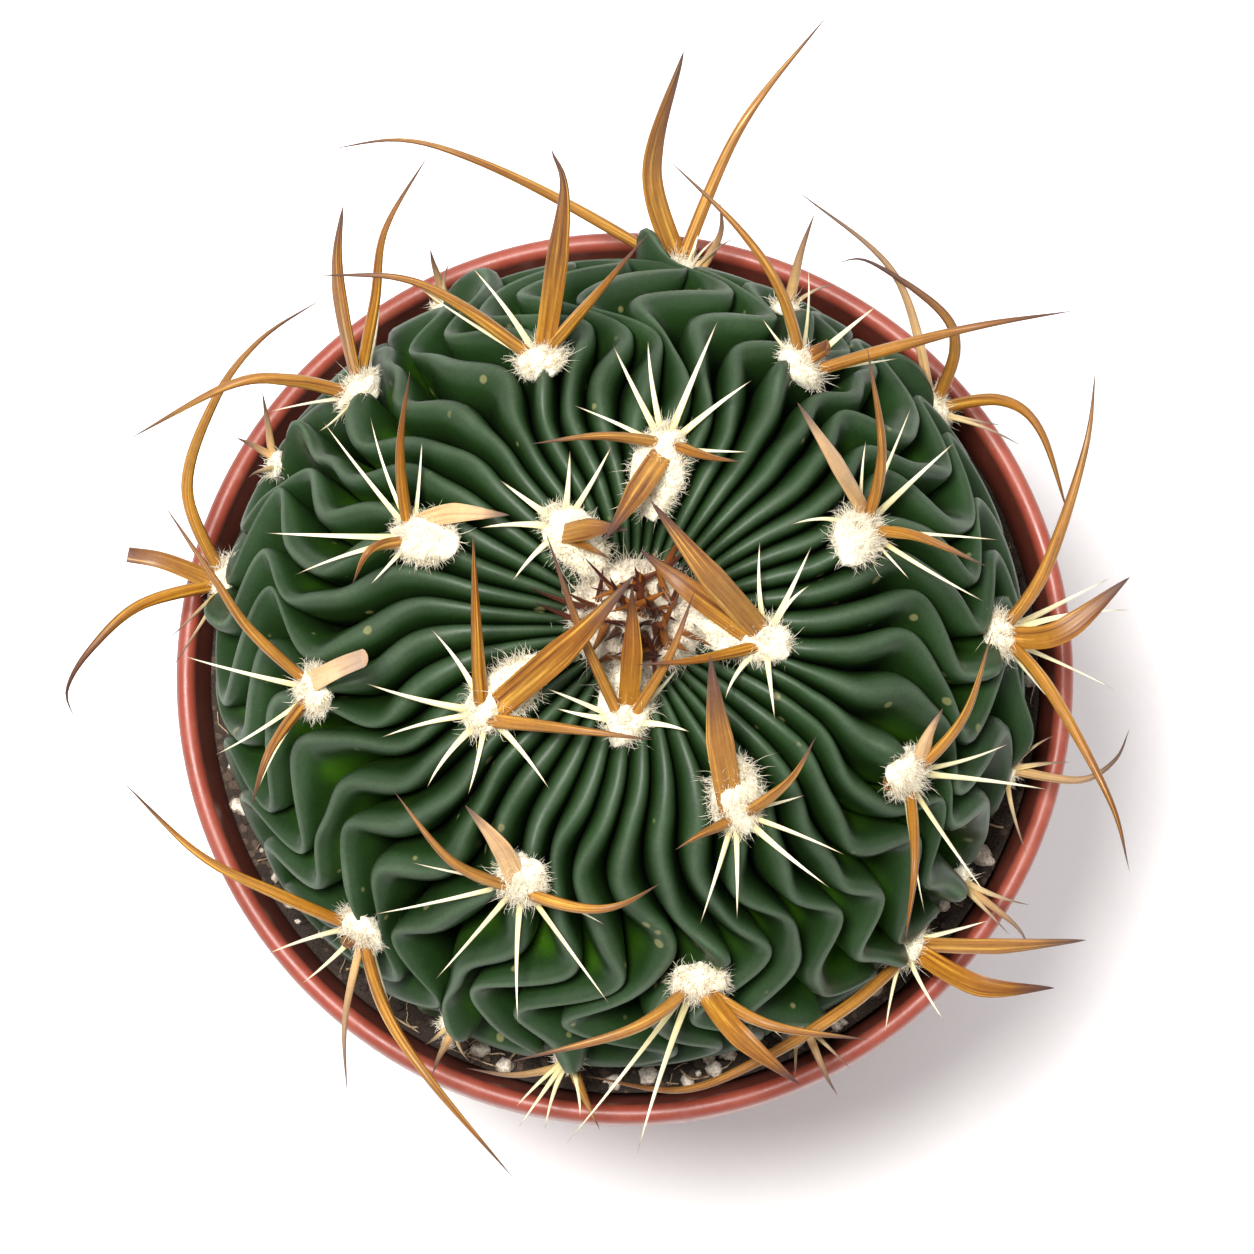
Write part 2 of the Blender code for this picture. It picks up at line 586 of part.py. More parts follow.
# Areoles and spines
def areole_frame(rib, length):
    """Crest point of an areole with its outward, side and crown directions."""
    here = stem_point(np.array(float(rib)), length, 1.0)
    crest = [stem_point(np.array(float(rib)), length + step, 1.0) for step in (1.2, -1.2)]
    down = crest[0] - crest[1]
    down /= np.linalg.norm(down)
    radius, height, out, up = crest_at(length)
    centre = stem_centre(here[2])
    away = np.array([here[0] - centre[0], here[1] - centre[1], 0])
    away /= np.linalg.norm(away)
    normal = out * away + np.array([0, 0, up])
    side = np.cross(normal, down)
    side /= np.linalg.norm(side)
    normal = np.cross(down, side)
    return here, normal, side, -down


def pad_shape(frame, wool, grow=0.0):
    """Centre and half axes of the woolly pad: it reaches further towards the crown."""
    here, normal, side, inward = frame
    centre = here + normal * PAD_LIFT + inward * wool * 0.5
    sizes = (PAD_HALF[0] + wool * 0.5 + grow, PAD_HALF[1] + grow, PAD_HALF[2] + grow)
    return centre, [inward * sizes[0], side * sizes[1], normal * sizes[2]]


def ellipsoid(name, centre, axes, sides, rings, finish=None):
    profile = [(math.sin(math.pi * k / rings), math.cos(math.pi * k / rings)) for k in range(rings, -1, -1)]
    profile = [(0 if k in (0, rings) else r, z) for k, (r, z) in enumerate(profile)]
    points, faces = lathe(profile, sides)
    placed = [centre + axes[0] * x + axes[1] * y + axes[2] * z for x, y, z in points]
    if np.dot(np.cross(axes[0], axes[1]), axes[2]) < 0:
        faces = [face[::-1] for face in faces]
    return mesh_object(name, placed, faces, finish)


def body_distance(points):
    """How far points are outside the line of the crests, less the peaks beside areoles."""
    points = np.atleast_2d(points)
    centre = stem_centre(points[:, 2])
    across, ahead = points[:, 0] - centre[0], points[:, 1] - centre[1]
    flat = np.stack([np.hypot(across, ahead), points[:, 2]], 1)
    gaps = flat[:, None, :] - CREST_LINE[None]
    squares = (gaps**2).sum(2)
    near = squares.argmin(1)
    pick = gaps[np.arange(len(points)), near]
    sign = np.where((pick * CREST_NORMAL[near]).sum(1) < 0, -1, 1)
    x = np.arctan2(ahead, across) * RIBS / (2 * math.pi)
    peaks = sum(
        1.4 * np.exp(-((round_gap(x, rib + wave(rib, at) * rib_pitch(at) + gap) / 1.4) ** 2))
        * np.exp(-(((CREST_AT[near] - at + 3.6) / 2.6) ** 2)) * np.interp(at, [10, 24], [0.3, 1])
        for rib, at, gap in FOUND
    )
    return sign * np.sqrt(squares.min(1)) - peaks


def tip_height(pixel, start, goal):
    """The height at which the photograph's pixel is about goal above the ribs."""
    heights = np.arange(start - 13, start + 15, 0.5)
    places = np.array([over_pot(pixel, h) for h in heights])
    miss = abs(body_distance(places) - goal) + 0.03 * abs(heights - start)
    return float(heights[miss.argmin()])


def spine_path(frame, pixels, rise, arch, extra, count):
    """The spine's middle line: it starts inside the pad and follows the pixels at rising heights."""
    here, normal, side, inward = frame
    root = here + normal * (PAD_LIFT + 0.2)
    aim = over_pot(pixels[0], root[2]) - root
    aim = aim - normal * np.dot(aim, normal)
    aim *= min(1, ROOT_SPREAD / max(np.linalg.norm(aim), 1e-6))
    root = root + aim
    steps = np.concatenate([[0], np.cumsum([math.dist(a, b) for a, b in zip(pixels, pixels[1:])])])
    shares = steps / steps[-1]
    path = [root - normal * 0.5, root + normal * 0.35]
    for share, pixel in zip(shares[1:], pixels[1:]):
        height = root[2] + (rise + extra) * share**0.8 + arch * 4 * share * (1 - share)
        path.append(over_pot(pixel, height))
    return smooth_through(path, count)[1]


def radial_path(frame, pixel, extra, count):
    here, normal, side, inward = frame
    root = here + normal * PAD_LIFT
    flat = over_pot(pixel, root[2])
    long = float(np.linalg.norm(flat - root))
    height = tip_height(pixel, root[2], RADIAL_LIFT * long + 0.6) + extra
    tip = over_pot(pixel, height)
    way = (tip - root) / np.linalg.norm(tip - root)
    spread = way - normal * np.dot(way, normal)
    root = root + spread * 0.8
    return np.array([root + (tip - root) * t for t in np.linspace(0, 1, count)])


def taper(kind, shares):
    """Share of the full width along a spine."""
    if kind == "stub":
        return 1 - 0.25 * shares
    if kind == "radial":
        return 1 - shares
    if kind == "flat":
        return (0.84 + 0.62 * shares * (1 - shares)) * np.clip((1 - shares) * 2.3, 0, 1) ** 0.75
    return np.clip(1 - shares**1.8, 0, 1)


class Placed:
    """Spines placed so far, as balls along their middle lines, so that a new one can be led clear."""

    def __init__(self):
        self.balls = np.zeros((0, 6))
        self.pads = []

    def room(self, path, radii, owner):
        """The least room left round a spine: to other spines, pads, the ribs and the rim."""
        least = []
        others = self.balls[self.balls[:, 4] != owner]
        if len(others):
            gaps = np.linalg.norm(path[:, None, :] - others[None, :, :3], axis=2)
            least.append((gaps - radii[:, None] - others[None, :, 3]).min() - SPINE_ROOM)
        for pad_owner, centre, axes in self.pads:
            if pad_owner == owner:
                continue
            scaled = np.array([(path - centre) @ (a / np.dot(a, a)) for a in axes]).T
            reach = np.linalg.norm(scaled, axis=1)
            least.append(((reach - 1) * np.linalg.norm(axes[1]) - radii).min() - PAD_ROOM)
        away = np.linalg.norm(path - path[0], axis=1)
        free = away > PAD_REACH
        if free.any():
            least.append((body_distance(path[free]) - radii[free]).min() - RIB_ROOM)
        own = self.balls[(self.balls[:, 4] == owner) & (self.balls[:, 5] > PAD_REACH)]
        if free.any() and len(own):
            gaps = np.linalg.norm(path[free][:, None, :] - own[None, :, :3], axis=2)
            least.append((gaps - radii[free][:, None] - own[None, :, 3]).min() - OWN_ROOM)
        flat = np.hypot(path[:, 0], path[:, 1])
        low = (flat > RIM_RADIUS - LIP_WIDTH - 1.5) & (flat < RIM_RADIUS + 1.2)
        if low.any():
            least.append((path[low, 2] - radii[low]).min() - POT_HEIGHT - 0.5)
        inside = flat <= RIM_RADIUS - LIP_WIDTH - 1.5
        if inside.any():
            least.append((path[inside, 2] - radii[inside]).min() - SOIL_TOP - SOIL_BUMP - CLEAR)
        return min(least) if least else 9.0

    def add(self, path, radii, owner):
        away = np.linalg.norm(path - path[0], axis=1)
        rows = np.column_stack([path, radii, np.full(len(path), owner), away])
        self.balls = np.vstack([self.balls, rows])


def led_clear(placed, make_path, width, kind, owner):
    """The lift nearest to none that gives the spine room, or else the best one, with the room it leaves."""
    best, best_room = 0.0, -9.0
    for step in range(MOST_TRIES):
        extra = TRY_STEP * ((step + 1) // 2) * (1 if step % 2 else -1)
        path = make_path(extra)
        shares = np.linspace(0, 1, len(path))
        radii = 0.5 * width * taper(kind, shares)
        room = placed.room(path, radii, owner)
        if room >= 0:
            return extra, room
        if room > best_room:
            best, best_room = extra, room
    return best, best_room


def face_way(path, normal):
    """The way a blade's flat face looks: across its chord, outwards and up."""
    chord = path[-1] - path[0]
    chord = chord / np.linalg.norm(chord)
    way = normal + np.array([0, 0, FACE_UP])
    way = way - chord * np.dot(way, chord)
    return way / np.linalg.norm(way)


def spine_solid(name, path, widths, thick, normal, sides, blunt):
    """A closed spine: rings of sides along the path and a point, or a cut end, at its tip."""
    points, faces = [], []
    last = len(path) - 1
    for k, place in enumerate(path):
        along = path[min(k + 1, last)] - path[max(k - 1, 0)]
        along = along / np.linalg.norm(along)
        side = np.cross(along, normal)
        side = side / max(np.linalg.norm(side), 1e-6)
        up = np.cross(side, along)
        if k == last and not blunt:
            points.append(place)
            break
        w, t = widths[k] / 2, thick[k] / 2
        turns = [2 * math.pi * j / sides for j in range(sides)]
        points += [place + side * w * math.cos(a) + up * t * math.sin(a) for a in turns]
    ring_count = last + 1 if blunt else last
    for k in range(ring_count - 1):
        for j in range(sides):
            a, b = sides * k + j, sides * k + (j + 1) % sides
            faces += [[a, b, b + sides], [a, b + sides, a + sides]]
    top = sides * (ring_count - 1)
    if blunt:
        faces.append([top + j for j in range(sides)])
    else:
        faces += [[top + j, top + (j + 1) % sides, len(points) - 1] for j in range(sides)]
    faces.append(list(range(sides)))
    return outward(mesh_object(name, points, faces))


def needle_solid(name, root, tip, width, normal):
    """A three-sided needle."""
    along = (tip - root) / np.linalg.norm(tip - root)
    side = np.cross(along, normal)
    side /= np.linalg.norm(side)
    up = np.cross(side, along)
    ring = [root + 0.58 * width * (side * math.cos(a) + up * math.sin(a)) for a in (math.pi / 2, 3.67, 5.76)]
    return outward(mesh_object(name, [*ring, tip], [[0, 1, 2], [0, 1, 3], [1, 2, 3], [2, 0, 3]]))


def outward(thing):
    work = bmesh.new()
    work.from_mesh(thing.data)
    bmesh.ops.recalc_face_normals(work, faces=work.faces)
    work.to_mesh(thing.data)
    work.free()
    return thing


def plan_spines():
    """Every spine's lift, strong ones first, so that no two areoles' spines meet."""
    placed, plans = Placed(), []
    frames = [areole_frame(rib, length) for rib, length, _ in FOUND]
    for owner, frame in enumerate(frames):
        placed.pads.append((owner, *pad_shape(frame, AREOLES[owner][1])))
    for owner, (pixel, wool, spines, tips) in enumerate(AREOLES):
        for kind, width, rise, arch, pixels in spines:
            def make(extra, count=30, frame=frames[owner], pixels=pixels, rise=rise, arch=arch):
                return spine_path(frame, pixels, rise, arch, extra, count)
            extra, room = led_clear(placed, make, width, kind, owner)
            if room < 0:
                print("tight spine", owner + 1, kind, pixels[-1], round(room, 2))
            path = make(extra)
            placed.add(path, 0.5 * width * taper(kind, np.linspace(0, 1, 30)), owner)
            plans.append((owner, kind, width, make, extra))
    for owner, (pixel, wool, spines, tips) in enumerate(AREOLES):
        for tip in tips:
            def make(extra, count=14, frame=frames[owner], tip=tip):
                return radial_path(frame, tip, extra, count)
            extra, room = led_clear(placed, make, RADIAL_WIDTH, "radial", owner)
            if room < 0:
                print("left out radial", owner + 1, tip, round(room, 2))
                continue
            placed.add(make(extra), 0.5 * RADIAL_WIDTH * taper("radial", np.linspace(0, 1, 14)), owner)
            plans.append((owner, "radial", RADIAL_WIDTH, make, extra))
    return frames, placed, plans


def is_closed(target):
    """Whether every edge has two faces once points nearer than the weld are joined."""
    work = bmesh.new()
    work.from_mesh(target.data)
    bmesh.ops.remove_doubles(work, verts=work.verts, dist=WELD * 0.001)
    closed = all(len(edge.link_faces) == 2 for edge in work.edges)
    work.free()
    return closed


def rings_for(kind, make, extra):
    """How many rings a spine's solid has."""
    if kind == "radial":
        return 2
    long = np.linalg.norm(np.diff(make(extra), axis=0), axis=1).sum()
    return 3 if kind == "stub" else 5 if long > LONG_SPINE else 4


def spine_solids(plans, owner, normal):
    """The solids of one areole's spines, each a little longer into the pad than it shows."""
    solids = []
    for index, (its_owner, kind, width, make, extra) in enumerate(plans):
        if its_owner != owner:
            continue
        name = f"spine{index}"
        count = rings_for(kind, make, extra)
        path = make(extra, count=count)
        if kind == "radial":
            solids.append(needle_solid(name, path[0], path[1], width, normal))
            continue
        widths = width * np.maximum(taper(kind, np.linspace(0, 1, count)), 0.3)
        flat = kind in ("flat", "stub")
        if not flat:
            widths = widths * ROUND_GROW
        thick = np.full(count, FLAT_THICK) if flat else widths
        sides = 4 if flat else 3
        way = face_way(path, normal) if flat else normal
        solids.append(spine_solid(name, path, widths, thick, way, sides, kind == "stub"))
    return solids


def turned(frame, turn):
    """The frame turned a little about its outward direction."""
    here, normal, side, inward = frame
    cosine, sine = math.cos(turn), math.sin(turn)
    return here, normal, side * cosine - inward * sine, inward * cosine + side * sine


def make_areoles(frames, plans, finish):
    """Joins each pad and its spines. A join that leaves an edge open is made again, its pad turned a little."""
    for owner, frame in enumerate(frames):
        for attempt in range(JOIN_TRIES):
            shape = pad_shape(turned(frame, JOIN_TURN * attempt), AREOLES[owner][1], -JOIN_SHRINK * attempt)
            pad = ellipsoid(f"areole_{owner + 1:02d}", *shape, PAD_SIDES, 4, finish)
            apply_boolean(pad, spine_solids(plans, owner, frame[1]), "UNION", "MANIFOLD")
            keep_largest_body(pad)
            if is_closed(pad):
                break
            bpy.data.objects.remove(pad, do_unlink=True)
        else:
            print("no closed join for areole", owner + 1)


def make_crown(placed, finish):
    """The wool mat in the crown with its young spines."""
    draw = random.Random(CROWN_SEED)
    centre = np.array([*stem_centre(CROWN_MAT_HEIGHT), CROWN_MAT_HEIGHT])
    axes = [np.array([CROWN_MAT[0], 0, 0]), np.array([0, CROWN_MAT[1], 0]), np.array([0, 0, CROWN_MAT[2]])]
    mat = ellipsoid("crown", centre, axes, 10, 5, finish)
    solids = []
    owner = len(AREOLES)
    for attempt in range(CROWN_SPINES * 12):
        turn, reach = draw.uniform(0, 2 * math.pi), 4.3 * math.sqrt(draw.random())
        root = centre + [reach * math.cos(turn), reach * math.sin(turn), 1.1]
        lean, way = draw.uniform(0.15, 0.75), draw.uniform(0, 2 * math.pi)
        long = draw.uniform(*CROWN_LONG)
        flat = long * math.sin(lean)
        tip = root + np.array([flat * math.cos(way), flat * math.sin(way), long * math.cos(lean)])
        path = np.array([root + (tip - root) * t for t in np.linspace(0, 1, 14)])
        radii = 0.5 * CROWN_WIDTH * (1 - np.linspace(0, 1, 14))
        if placed.room(path[3:], radii[3:], owner) < -0.05 or len(solids) >= CROWN_SPINES:
            continue
        solids.append(needle_solid(f"young{attempt}", root, tip, CROWN_WIDTH, np.array([0.3, 1, 0.1])))
    apply_boolean(mat, solids, "UNION", "MANIFOLD")
    keep_largest_body(mat)
    print("crown spines", len(solids))
    return mat


def seat_areoles(stem, frames, plans):
    """Cuts a seat one gap wider than each pad, the crown mat and the foot of each spine."""
    cutters = [
        ellipsoid(f"seat{k}", *pad_shape(turned(frame, SEAT_TURN), areole[1], CLEAR + SEAT_MORE), PAD_SIDES, 4)
        for k, (frame, areole) in enumerate(zip(frames, AREOLES))
    ]
    centre = np.array([*stem_centre(CROWN_MAT_HEIGHT), CROWN_MAT_HEIGHT])
    grown = [size + CLEAR for size in CROWN_MAT]
    cutters.append(ellipsoid("seat_crown", centre, [np.eye(3)[k] * grown[k] for k in range(3)], 10, 5))
    for index, (owner, kind, width, make, extra) in enumerate(plans):
        path = make(extra, count=rings_for(kind, make, extra))
        first = path[1] - path[0]
        foot = path[0] + np.outer([0, min(1, FOOT_REACH / np.linalg.norm(first))], first)
        if kind == "stub":
            foot = np.array([*path[:-1], path[-1] + (path[-1] - path[-2]) * STUB_OVER])
        normal = frames[owner][1]
        if kind in ("flat", "stub"):
            wide, thick = width + FLAT_SEAT[0], FLAT_THICK + FLAT_SEAT[1]
            shape = (face_way(path, normal), 4)
        elif kind == "radial":
            wide = thick = width + RADIAL_SEAT
            shape = (normal, 4)
        else:
            wide = thick = width * ROUND_GROW + 4 * CLEAR
            shape = (normal, 3)
        spare = SEAT_STEP * (index % SEAT_STEPS)
        cutters.append(spine_solid(f"foot{index}", foot, np.full(len(foot), wide + spare),
                                    np.full(len(foot), thick + spare), *shape, True))
    apply_boolean(stem, cutters, "DIFFERENCE", "MANIFOLD")
    keep_largest_body(stem)


def main():
    start_empty()
    green = material("green stem", (0.045, 0.12, 0.06), 0.5)
    amber = material("amber spines and cream wool", (0.62, 0.36, 0.12), 0.55)
    clay = material("terracotta plastic", (0.54, 0.14, 0.09), 0.5)
    earth = material("dark soil", (0.035, 0.024, 0.018), 0.95)
    make_pot(clay)
    make_soil(earth)
    stem = make_stem(green)
    frames, placed, plans = plan_spines()
    seat_areoles(stem, frames, plans)
    make_areoles(frames, plans, amber)
    make_crown(placed, amber)
    for thing in bpy.data.objects:
        print(thing.name, sum(len(f.vertices) - 2 for f in thing.data.polygons))


if __name__ == "__main__":
    main()
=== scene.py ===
# %% [markdown]
# # A potted brain cactus
# The plant is a low globe of thin waved ribs in a terracotta coloured nursery pot.
# A plain solid model of it exists already, with the right sizes and with every spine in its place.
# This lesson dresses that model: each solid is either replaced by a finer mesh of the same form,
# or keeps its place and gets new detail round it.
# All lengths below are in millimetres and become metres where a mesh is made.

# %% Load the solid model
import json
import math

import bmesh
import bpy
import numpy as np
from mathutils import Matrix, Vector, noise

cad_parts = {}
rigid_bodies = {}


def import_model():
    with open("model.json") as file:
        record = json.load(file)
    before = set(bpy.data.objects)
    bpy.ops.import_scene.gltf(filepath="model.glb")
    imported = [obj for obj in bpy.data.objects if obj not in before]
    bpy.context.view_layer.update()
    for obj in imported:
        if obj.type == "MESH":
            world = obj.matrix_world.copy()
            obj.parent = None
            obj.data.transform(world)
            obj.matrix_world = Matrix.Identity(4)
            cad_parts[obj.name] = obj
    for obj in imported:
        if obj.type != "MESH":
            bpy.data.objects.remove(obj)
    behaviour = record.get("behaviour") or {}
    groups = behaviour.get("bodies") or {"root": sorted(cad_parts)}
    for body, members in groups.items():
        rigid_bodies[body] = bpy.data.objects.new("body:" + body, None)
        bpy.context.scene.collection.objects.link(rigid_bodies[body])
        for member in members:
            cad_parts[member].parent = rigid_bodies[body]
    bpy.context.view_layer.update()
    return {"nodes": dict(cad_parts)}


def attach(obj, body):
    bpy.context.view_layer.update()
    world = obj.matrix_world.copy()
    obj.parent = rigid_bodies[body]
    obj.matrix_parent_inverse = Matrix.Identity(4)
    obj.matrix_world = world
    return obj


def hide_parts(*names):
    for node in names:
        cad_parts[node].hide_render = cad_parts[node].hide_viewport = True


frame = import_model()
MM = 0.001

# %% [markdown]
# ## Camera
# The photograph looks down on the pot from a little south of straight above.
# Its scale is known at the height of the rim, so the distance and the focal length follow from it,
# and a point of the plant lands on the same pixel as in the photograph.

# %% Camera over the pot
POT_HEIGHT = 75.0
PHOTO_SIDE = 1254
PHOTO_MIDDLE = (627, 627)
PHOTO_SCALE = 10.57
VIEW_POINT = (0.2, 4.4)
VIEW_TILT = math.radians(7)
VIEW_DISTANCE = 600.0
SENSOR = 36.0


def look_at(thing, place, target):
    thing.location = Vector(place) * MM
    thing.rotation_euler = (Vector(place) - Vector(target)).to_track_quat("Z", "Y").to_euler()
    bpy.context.scene.collection.objects.link(thing)


target = (*VIEW_POINT, POT_HEIGHT)
eye = (target[0], target[1] - VIEW_DISTANCE * math.sin(VIEW_TILT),
       POT_HEIGHT + VIEW_DISTANCE * math.cos(VIEW_TILT))
lens = bpy.data.cameras.new("camera")
lens.sensor_width = SENSOR
lens.lens = SENSOR * PHOTO_SCALE * VIEW_DISTANCE / PHOTO_SIDE
camera = bpy.data.objects.new("camera", lens)
look_at(camera, eye, target)
bpy.context.scene.camera = camera
print("focal length", round(lens.lens, 1), "mm")

# %% [markdown]
# ## Light
# A studio photograph on white: one broad lamp high on the left, a weaker one behind, and white all round.
# The lamp is large, so the shadow of the pot is soft, and the white room fills the rest.

# %% Lamps and white room
def soft_lamp(name, place, size, power, colour=(1, 1, 1)):
    lamp = bpy.data.lights.new(name, "AREA")
    lamp.shape = "DISK"
    lamp.size = size * MM
    lamp.energy = power
    lamp.color = colour
    look_at(bpy.data.objects.new(name, lamp), place, (0, 0, 70))


soft_lamp("key", (-96, 12, 650), 170, 6.7, (1, 0.985, 0.95))
soft_lamp("fill", (60, 520, 560), 420, 1.1, (1, 1, 1))
room = bpy.data.worlds.new("white room")
room.use_nodes = True
room.node_tree.nodes["Background"].inputs["Color"].default_value = (1, 1, 1, 1)
room.node_tree.nodes["Background"].inputs["Strength"].default_value = 0.6
bpy.context.scene.world = room
bpy.context.scene.view_settings.view_transform = "Standard"

# %% [markdown]
# ## Making a mesh from numbers
# Most pieces here are grown by a rule, so their points are worked out as arrays.
# One helper turns points and faces into an object. Any number that a material wants to know at a point,
# such as how far along a spine it lies, goes with the mesh as a named attribute.

# %% From arrays to an object
def piece_from(name, points, faces, finish, marks=None, creased=None):
    """faces is a list of arrays, each with one row per face."""
    mesh = bpy.data.meshes.new(name)
    faces = [np.asarray(rows) for rows in faces if len(rows)]
    corners = np.concatenate([rows.ravel() for rows in faces]).astype(np.int32)
    sizes = np.concatenate([np.full(len(rows), rows.shape[1]) for rows in faces])
    starts = np.concatenate([[0], np.cumsum(sizes)[:-1]]).astype(np.int32)
    mesh.vertices.add(len(points))
    mesh.vertices.foreach_set("co", (np.asarray(points) * MM).astype(np.float32).ravel())
    mesh.loops.add(len(corners))
    mesh.loops.foreach_set("vertex_index", corners)
    mesh.polygons.add(len(starts))
    mesh.polygons.foreach_set("loop_start", starts)
    for mark, values in (marks or {}).items():
        layer = mesh.attributes.new(mark, "FLOAT", "POINT")
        layer.data.foreach_set("value", np.asarray(values, np.float32))
    mesh.update(calc_edges=True)
    mesh.validate()
    mesh.materials.append(finish)
    mesh.shade_smooth()
    if creased:
        mesh.set_sharp_from_angle(angle=math.radians(creased))
    made = bpy.data.objects.new(name, mesh)
    bpy.context.scene.collection.objects.link(made)
    return made


def together(parts):
    """Several (points, faces, marks) as one."""
    points, faces, start = [], [], 0
    for part_points, part_faces, _ in parts:
        points.append(part_points)
        faces += [np.asarray(rows) + start for rows in part_faces if len(rows)]
        start += len(part_points)
    marks = {}
    for name in sorted({name for part in parts for name in part[2]}):
        marks[name] = np.concatenate([part[2].get(name, np.zeros(len(part[0]))) for part in parts])
    return np.concatenate(points), faces, marks


def round_points(centre, radius, turn, height):
    """Points round an upright axis."""
    x, y = centre[0] + radius * np.cos(turn), centre[1] + radius * np.sin(turn)
    return np.stack([x, y, height + 0 * turn], -1)


def ring_walls(rows, sides, first=0, flipped=False):
    """The faces between rings of points. first is the number of the first ring's first point."""
    ring = np.arange(sides)
    after = (ring + 1) % sides
    start = first + sides * np.arange(rows - 1)[:, None]
    above = start + sides
    walls = np.stack([start + ring, start + after, above + after, above + ring], -1).reshape(-1, 4)
    return walls[:, [0, 3, 2, 1]] if flipped else walls


def triangles(piece):
    return sum(len(face.vertices) - 2 for face in piece.data.polygons)


def settle(piece, slot, *nodes):
    """Attaches the piece to the root body and hides the solids it stands for. slot is not used."""
    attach(piece, "root")
    if nodes:
        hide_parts(*nodes)
    print(piece.name, "triangles:", triangles(piece))


# %% Tubes: spines, hairs and roots
def tubes(paths, widths, thicks, normals, sides, hollow=0.0, blunt=False):
    """Many tubes at once. paths is tube x ring x 3. A tube ends in a point, or in a cut face if blunt."""
    paths = np.asarray(paths, float)
    count, rings = paths.shape[:2]
    along = np.gradient(paths, axis=1)
    along /= np.linalg.norm(along, axis=2, keepdims=True) + 1e-9
    side = np.cross(along, np.broadcast_to(np.asarray(normals, float)[:, None, :], along.shape))
    side /= np.linalg.norm(side, axis=2, keepdims=True) + 1e-9
    up = np.cross(side, along)
    turn = 2 * math.pi * np.arange(sides) / sides
    across = np.cos(turn)[None, None, :, None] * (widths / 2)[..., None, None]
    lift = np.sin(turn)[None, None, :, None] * (thicks / 2)[..., None, None]
    lift = lift + hollow * (np.cos(turn) ** 2)[None, None, :, None] * widths[..., None, None]
    grid = paths[:, :, None] + side[:, :, None] * across + up[:, :, None] * lift
    last = rings if blunt else rings - 1
    points = grid[:, :last].reshape(count, -1, 3)
    if not blunt:
        points = np.concatenate([points, paths[:, -1:]], 1)
    each = points.shape[1]
    ring = np.arange(sides)
    after = (ring + 1) % sides
    root = ring[::-1][None]
    top = (last - 1) * sides
    tip = (top + ring)[None] if blunt else np.stack([top + ring, top + after, np.full(sides, each - 1)], 1)
    starts = (np.arange(count) * each)[:, None, None]
    shells = (ring_walls(last, sides), root, tip)
    faces = [(rows[None] + starts).reshape(-1, rows.shape[1]) for rows in shells]
    share = np.repeat(np.linspace(0, 1, rings)[:last], sides)
    share = share if blunt else np.append(share, 1.0)
    spot = np.tile(np.arange(sides) / sides, last)
    spot = spot if blunt else np.append(spot, 0.5)
    return points.reshape(-1, 3), faces, {"along": np.tile(share, count), "around": np.tile(spot, count)}


line = np.linspace([[0, 0, 0]], [[0, 0, 3]], 4).transpose(1, 0, 2)
sample = tubes(line, np.ones((1, 4)), np.ones((1, 4)), [[1, 0, 0]], 3)
print("a tube of 4 rings and 3 sides:", [len(rows) for rows in sample[1]], "faces")

# %% [markdown]
# ## Nodes in few words
# A material is a tree of small boxes. These helpers add a box and wire it up in one line,
# so a recipe below reads from top to bottom.

# %% Short hands for material trees
def plug(tree, made, inputs):
    """Fills inputs, told by name or as i and a number, with constants or with other nodes' outputs."""
    for key, value in inputs.items():
        numbered = key[0] == "i" and key[1:].isdigit()
        socket = made.inputs[int(key[1:]) if numbered else key.replace("_", " ")]
        if isinstance(value, bpy.types.NodeSocket):
            tree.links.new(value, socket)
        else:
            socket.default_value = value


def box(tree, kind, settings=None, **inputs):
    """Adds a node. An input is a number, a colour or another node's output."""
    made = tree.nodes.new("ShaderNode" + kind)
    for key, value in (settings or {}).items():
        setattr(made, key, value)
    plug(tree, made, inputs)
    return made


def sums(tree, operation, a, b=0.0, c=0.0):
    return box(tree, "Math", {"operation": operation, "use_clamp": False}, i0=a, i1=b, i2=c).outputs[0]


def times(tree, a, b):
    return sums(tree, "MULTIPLY", a, b)


def remap(tree, value, low, high, to_low=0.0, to_high=1.0, kind="SMOOTHSTEP"):
    made = box(tree, "MapRange", {"interpolation_type": kind}, Value=value)
    for socket, number in zip(made.inputs[1:5], (low, high, to_low, to_high)):
        socket.default_value = number
    return made.outputs[0]


def blend(tree, factor, a, b, mode="MIX"):
    return box(tree, "Mix", {"data_type": "RGBA", "blend_type": mode}, i0=factor, i6=a, i7=b).outputs[2]


def ramp(tree, factor, stops):
    """stops is a list of (place, colour)."""
    made = box(tree, "ValToRGB", Fac=factor)
    band = made.color_ramp
    while len(band.elements) < len(stops):
        band.elements.new(0.5)
    for element, (place, colour) in zip(band.elements, stops):
        element.position = place
        element.color = (*colour, 1)
    return made.outputs[0]


def mark(tree, name):
    return box(tree, "Attribute", {"attribute_name": name}).outputs["Fac"]


def start_finish(name, **plain):
    """A new material with its shader. Words given here are constants, set on the shader itself."""
    made = bpy.data.materials.new(name)
    made.use_nodes = True
    shader = made.node_tree.nodes["Principled BSDF"]
    for key, value in plain.items():
        shader.inputs[key.replace("_", " ")].default_value = value
    return made, made.node_tree, shader


def paint(tree, shader, colour, roughness=None):
    tree.links.new(colour, shader.inputs["Base Color"])
    if roughness:
        tree.links.new(roughness, shader.inputs["Roughness"])


def rough_to(tree, shader, height, depth, strength):
    """A bump of that depth in mm."""
    made = box(tree, "Bump", Height=height, Distance=depth * MM, Strength=strength)
    tree.links.new(made.outputs["Normal"], shader.inputs["Normal"])


# %% [markdown]
# ## Two effects that many finishes share
# Living and moulded surfaces alike are never one flat tone, and everything that stands in a greenhouse
# catches dust and soil. Both effects are node groups: built once, then placed in each material with
# its own numbers. The first gives slow and fine mottling of a colour, the second gives a mask of specks.

